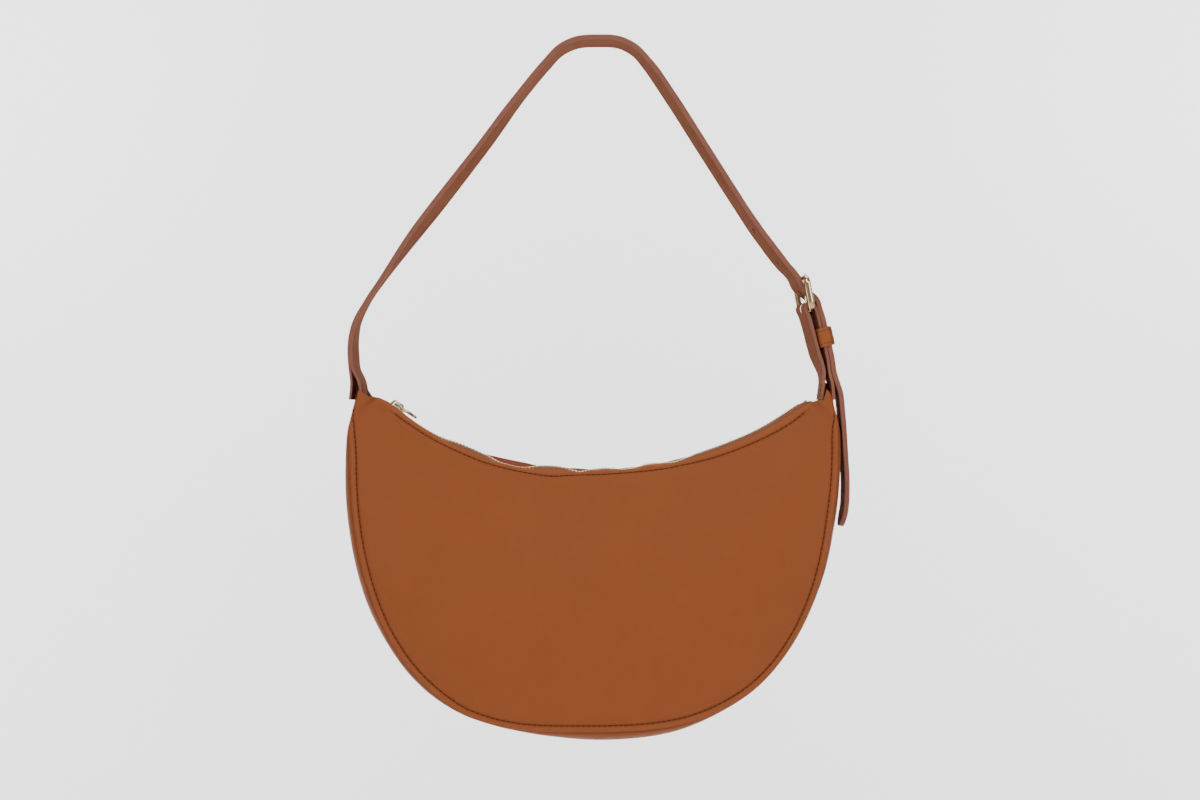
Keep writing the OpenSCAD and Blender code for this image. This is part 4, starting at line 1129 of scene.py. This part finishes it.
STRIP_WS = [-10, -9.95, -9.8, -9.5, -9.1, -8.5, -7.6, -7, -6, -4.5, -3, -2, -1, 0]
STRIP_WS += [-w for w in reversed(STRIP_WS[:-1])]
EDGE_FROM = 9.3
CREASE_AT, CREASE_WIDE = 8.4, 0.35


def end_lengths(end, near):
    """Lengths close to a rounded end, crowding towards it."""
    crowding = [near * share for share in (1, 0.8, 0.62, 0.46, 0.32, 0.2, 0.1)]
    return [end - d for d in crowding + [0.4, 0.1, 0]]


def strap_lengths(strip, anchor, round_end):
    """Lengths along a strip, one millimetre apart and in step with an anchor."""
    last = strip.end - (STRAP_W / 2 if round_end else 0.3)
    inner = [anchor + k for k in range(-int(anchor), int(last - anchor) + 1)]
    inner = [s for s in inner if 0.4 < s < last - 0.4]
    return [0] + inner + (end_lengths(strip.end, STRAP_W / 2) if round_end else [strip.end])


def edges_painted(u, w, side):
    return 1 if 0 < side < 1 or abs(w) > EDGE_FROM else 0


def strap_tone(u, w, side):
    """Darker in a crease beside each edge, with slow patches."""
    crease = -0.35 * math.exp(-(((abs(w) - CREASE_AT) / CREASE_WIDE) ** 2))
    return crease + 0.25 * noise.noise(Vector((u / 35, w / 9, 3.3)))


def strap_layer(name, route, low, high, outer_side):
    """One layer of the strap, between two heights over its middle, rounded on its outer side."""
    strip = Strip(route, rolled=True)
    used = strip.knot(len(route) - len(STRAP_ROUTE) + len(LEFT_RUN) + 1 + len(RIGHT_RUN) + 3)
    holes = [(used, PRONG_HOLE_L + PRONG_ROOM - 2 * HOLE_R, HOLE_R, 1)]
    holes += [(used + (k + 1 if k > 0 else k) * HOLE_PITCH, 0, HOLE_R, 1) for k in (-2, -1, 1, 2, 3)]

    def put(s, w, side):
        left = strip.end - s
        d = STRAP_W / 2 - min(STRAP_W / 2, left)
        width = max(0.03, math.sqrt(max(0.0, 1 - (2 * d / STRAP_W) ** 2)))
        n = high if side else low
        drop = rounded_drop(w, STRAP_W / 2, EDGE_BEVEL * 1.5)
        if left < 1:
            drop = max(drop, rounded_drop(STRAP_W / 2 - left, STRAP_W / 2, EDGE_BEVEL * 1.5))
        if side == (1 if outer_side else 0):
            n -= drop if outer_side else -drop
        return strip.point(s, w * width, n)

    piece(
        f"{name}_leather",
        slab(strap_lengths(strip, used, True), STRIP_WS, put, edges_painted, strap_tone, holes),
        [STRAP_LEATHER, EDGE_PAINT], replaces=[name],
    )
    return strip


LAYER_IN, LAYER_OUT = SEAM_GAP / 2, SEAM_GAP / 2 + LAYER_T
outer_strip = strap_layer("strap_outer", OUTER_ROUTE, LAYER_IN, LAYER_OUT, True)
inner_strip = strap_layer("strap_inner", INNER_ROUTE, -LAYER_OUT, -LAYER_IN, False)

# Short strap that holds the buckle
chape = Strip(CHAPE_ROUTE)
fold_from, fold_to = chape.knot(len(INNER_LEG)), chape.knot(len(INNER_LEG) + len(FOLD_POINTS) - 1)
slot_mid, slot_half = (fold_from + fold_to) / 2, (fold_to - fold_from + SLOT_L) / 2
slot_r = PRONG_W / 2 + LAY_GAP


def chape_put(s, w, side):
    n = CHAPE_T / 2 * (2 * side - 1)
    drop = rounded_drop(w, STRAP_W / 2, EDGE_BEVEL * 1.5)
    return chape.point(s, w, n - drop * (2 * side - 1) * (1 if side else 0.6))


piece(
    "buckle_chape_leather",
    slab(
        strap_lengths(chape, slot_mid, False), STRIP_WS, chape_put, edges_painted, strap_tone,
        [(slot_mid, 2 * (slot_half - slot_r), slot_r, 1.3)],
    ),
    [STRAP_LEATHER, EDGE_PAINT], replaces=["buckle_chape"],
)

# Keeper
KEEPER_DEEP = CHAPE_T + LAY_GAP + STRAP_T + 2 * SEAT_GAP
KEEPER_WIDE = STRAP_W + 2 * SEAT_GAP
KEEPER_SPOT = RUN_START + RUN_WAY * KEEPER_AT + RUN_SIDE * (LAY_GAP + STRAP_T) / 2
KEEPER_ROUND = 200
KEEPER_GROOVE_IN = 1.9


def round_loop(share, deep, wide, r):
    """A place, with its outward direction, at a share of the way round a rectangle with round corners."""
    flat_x, flat_y, arc = deep - 2 * r, wide - 2 * r, math.pi / 2 * r
    s = (share % 1) * 2 * (flat_x + flat_y + 2 * arc)
    corners = [(1, -1, 0), (1, 1, 90), (-1, 1, 180), (-1, -1, 270)]
    for (cx, cy, turn), run in zip(corners, (flat_y, flat_x, flat_y, flat_x)):
        centre = Vector((cx * (deep / 2 - r), cy * (wide / 2 - r)))
        if s <= arc:
            a = math.radians(turn - 90 + 90 * s / arc)
            way = Vector((math.cos(a), math.sin(a)))
            return centre + way * r, way
        s -= arc
        if s <= run:
            a = math.radians(turn)
            out = Vector((math.cos(a), math.sin(a)))
            return centre + out * r + Vector((-out.y, out.x)) * s, out
        s -= run
    return centre + out * r, out


def keeper_put(u, v, side):
    """A place on the keeper: u runs round the loop, from 0 to KEEPER_ROUND, and v up it."""
    deep, wide = KEEPER_DEEP + 2 * KEEPER_T, KEEPER_WIDE + 2 * KEEPER_T
    p, out = round_loop(u / KEEPER_ROUND, deep, wide, KEEPER_T + 0.3)
    edge = KEEPER_H / 2 - abs(v)
    relief = -0.42 * (1 - math.sqrt(1 - (1 - clamp(edge / 1.0)) ** 2))
    groove = -0.22 * math.exp(-(((edge - KEEPER_GROOVE_IN) / 0.32) ** 2))
    relief += groove + 0.12 * math.sin(math.pi * clamp(edge / (KEEPER_H / 2)))
    relief += 0.1 * noise.noise(Vector((p.x / 5, p.y / 5, v / 4)))
    if side:
        p = p + out * relief
    else:
        p, _ = round_loop(u / KEEPER_ROUND, deep - 2 * KEEPER_T, wide - 2 * KEEPER_T, 0.5)
    lean = math.radians(-RUN_LEAN)
    x, z = p.x * math.cos(lean) + v * math.sin(lean), -p.x * math.sin(lean) + v * math.cos(lean)
    x += KEEPER_SPOT.x - HEEL_X
    a = math.radians(TWIST)
    return Vector((
        HEEL_X + x * math.cos(a) - p.y * math.sin(a), x * math.sin(a) + p.y * math.cos(a), KEEPER_SPOT.y + z,
    ))


def keeper_shade_and_highlight(u, v, side):
    """Painted shade in the groove and painted highlight on both rims."""
    groove = math.exp(-(((KEEPER_H / 2 - abs(v) - KEEPER_GROOVE_IN) / 0.3) ** 2))
    return -0.5 * groove + 0.3 * ease((abs(v) - 4.6) / 1)


KEEPER_VS = [-5.75, -5.65, -5.4, -5.0, -4.5, -4.2, -3.85, -3.5, -3.1, -2.2, -1.1, 0]
KEEPER_VS += [-v for v in reversed(KEEPER_VS[:-1])]
piece(
    "keeper_loop_leather",
    slab(span(0, KEEPER_ROUND, 120), KEEPER_VS, keeper_put, tone=keeper_shade_and_highlight, closed=True),
    [KEEPER_LEATHER], body="keeper", replaces=["keeper_loop"],
)

# Stitches
STITCH_PITCH, STITCH_L, STITCH_R = 3.2, 2.5, 0.3
STRIP_STITCH_PITCH, STITCH_LIFT, THREAD_OUT = 2.9, 0.08, 0.1
SEWN_FROM, SEWN_TO, SEWN_W = 1.4, 9, 7.4
SEAM_SEWN_SHARES, TOP_SEWN_SHARES = (-0.96, 0.95), (-0.845, 0.895)
draw = Random(31)


def add_stitch(bm, centre, way, up):
    """A short rounded length of thread that lies along way."""
    way = way.normalized()
    side = up.cross(way).normalized()
    up = way.cross(side)
    tilt = Matrix.Rotation(draw.uniform(-0.09, 0.09), 3, up)
    way, side = tilt @ way, tilt @ side
    m = Matrix((side * STITCH_R * MM, up * STITCH_R * MM, way * STITCH_L / 2 * MM)).transposed().to_4x4()
    m.translation = centre * MM
    bmesh.ops.create_uvsphere(bm, u_segments=6, v_segments=5, radius=1, matrix=m)


def evenly(points, pitch):
    """Places, and directions, one pitch apart along a line of points."""
    found, carried = [], pitch / 2
    for a, b in zip(points, points[1:]):
        length = (b - a).length
        while carried <= length:
            found.append((mix(a, b, carried / length), (b - a).normalized()))
            carried += pitch
        carried -= length
    return found


def sewn(bm, line, up, pitch=STITCH_PITCH):
    for p, way in evenly(line, pitch):
        add_stitch(bm, p, way, up)


def panel_stitches(panel):
    bm = bmesh.new()

    def seam_line(u):
        c = column(u)
        return panel.face(u, c.length - GROOVE_AT * c.scale / c.at_seam, out=THREAD_OUT)

    def top_line(u):
        c = column(u)
        return panel.face(u, TOP_GROOVE_AT * panel.rim(u) * c.scale / c.at_top, out=THREAD_OUT)

    outwards = Vector((0, -panel.side, 0))
    sewn(bm, [seam_line(u) for u in span(*SEAM_SEWN_SHARES, 700)], outwards)
    sewn(bm, [top_line(u) for u in span(*TOP_SEWN_SHARES, 500)], outwards)
    for f in bm.faces:
        f.smooth = True
    return bm


for name, panel in (("front", FRONT), ("back", BACK)):
    piece(f"{name}_panel_stitches", panel_stitches(panel), [THREAD], sharp=80)


def strip_stitches():
    """Sewing of the ends of the strap's layers and of the short strap to the tips."""
    bm = bmesh.new()

    def row(strip, s_from, s_to, w_from, w_to, n):
        line = [strip.point(mix(s_from, s_to, k / 20), mix(w_from, w_to, k / 20), n) for k in range(21)]
        _, _, _, normal = strip.frame((s_from + s_to) / 2)
        sewn(bm, line, normal * math.copysign(1, n), STRIP_STITCH_PITCH)

    for strip, n in ((outer_strip, LAYER_OUT + STITCH_LIFT), (inner_strip, -LAYER_OUT - STITCH_LIFT)):
        for w in (-SEWN_W, SEWN_W):
            row(strip, SEWN_FROM, SEWN_TO, w, w, n)
        row(strip, SEWN_FROM, SEWN_FROM, -SEWN_W, SEWN_W, n)
    for s0, s1 in ((SEWN_FROM, SEWN_TO), (chape.end - SEWN_TO, chape.end - SEWN_FROM)):
        for w in (-SEWN_W, SEWN_W):
            row(chape, s0, s1, w, w, CHAPE_T / 2 + STITCH_LIFT)
    for f in bm.faces:
        f.smooth = True
    return bm


piece("strap_stitches", strip_stitches(), [THREAD], sharp=80)


# Floor, backdrop and light
def backdrop_finish():
    f = Finish("pale_paper", specular_ior_level=0.1)
    cloudy = f.noise(500, 2)
    colour = f.blend(cloudy, (0.86, 0.85, 0.86), (0.89, 0.88, 0.89))
    return f.paint(base_color=colour, roughness=cloudy * 0.05 + 0.9)


def stage_piece(name, bm, finish):
    mesh = bpy.data.meshes.new(name)
    for f in bm.faces:
        f.smooth = True
    bm.to_mesh(mesh)
    bm.free()
    mesh.materials.append(finish)
    made = bpy.data.objects.new(name, mesh)
    bpy.context.scene.collection.objects.link(made)


def sweep_of_paper():
    """Floor that curves up into a wall behind the bag."""
    bm = bmesh.new()
    bmesh.ops.create_grid(bm, x_segments=40, y_segments=80, size=0.5)
    radius, floor_z, wall_y = 0.8, -1.05, 2.2
    length, width = 12, 14
    for v in bm.verts:
        s = (v.co.y + 0.5) * length - length / 2
        x = v.co.x * width
        start = wall_y - radius
        if s < start:
            v.co = (x, s, floor_z)
        elif s < start + radius * math.pi / 2:
            a = (s - start) / radius
            v.co = (x, start + radius * math.sin(a), floor_z + radius * (1 - math.cos(a)))
        else:
            v.co = (x, wall_y, floor_z + radius + s - start - radius * math.pi / 2)
    return bm


stage_piece("paper_sweep", sweep_of_paper(), backdrop_finish())

world = bpy.data.worlds.new("studio")
bpy.context.scene.world = world
world.use_nodes = True
sky = world.node_tree.nodes["Background"].inputs
sky["Color"].default_value = (0.93, 0.93, 0.95, 1)
sky["Strength"].default_value = 0.24


def soft_light(name, location, size, power, aim=(0, 0, -0.25)):
    light = bpy.data.lights.new(name, "AREA")
    light.shape, light.size, light.size_y, light.energy = "RECTANGLE", size[0], size[1], power
    made = bpy.data.objects.new(name, light)
    bpy.context.scene.collection.objects.link(made)
    made.location = location
    made.rotation_euler = (Vector(aim) - Vector(location)).to_track_quat("-Z", "Y").to_euler()


soft_light("window", (-1.3, -2.1, 1.0), (1.8, 1.8), 45)
soft_light("fill", (1.7, -1.9, 0.3), (1.6, 1.6), 30)
soft_light("overhead", (0.1, 0.2, 1.5), (1.6, 1.2), 18)
soft_light("wall_left", (-1.5, 0.9, 0.4), (1.0, 1.4), 52, aim=(-1.1, 2.2, -0.2))
soft_light("wall_right", (1.5, 0.9, 0.4), (1.0, 1.4), 52, aim=(1.1, 2.2, -0.2))
soft_light("wall_top", (0, 1.1, 1.0), (1.6, 0.5), 18, aim=(0, 2.2, 0.2))
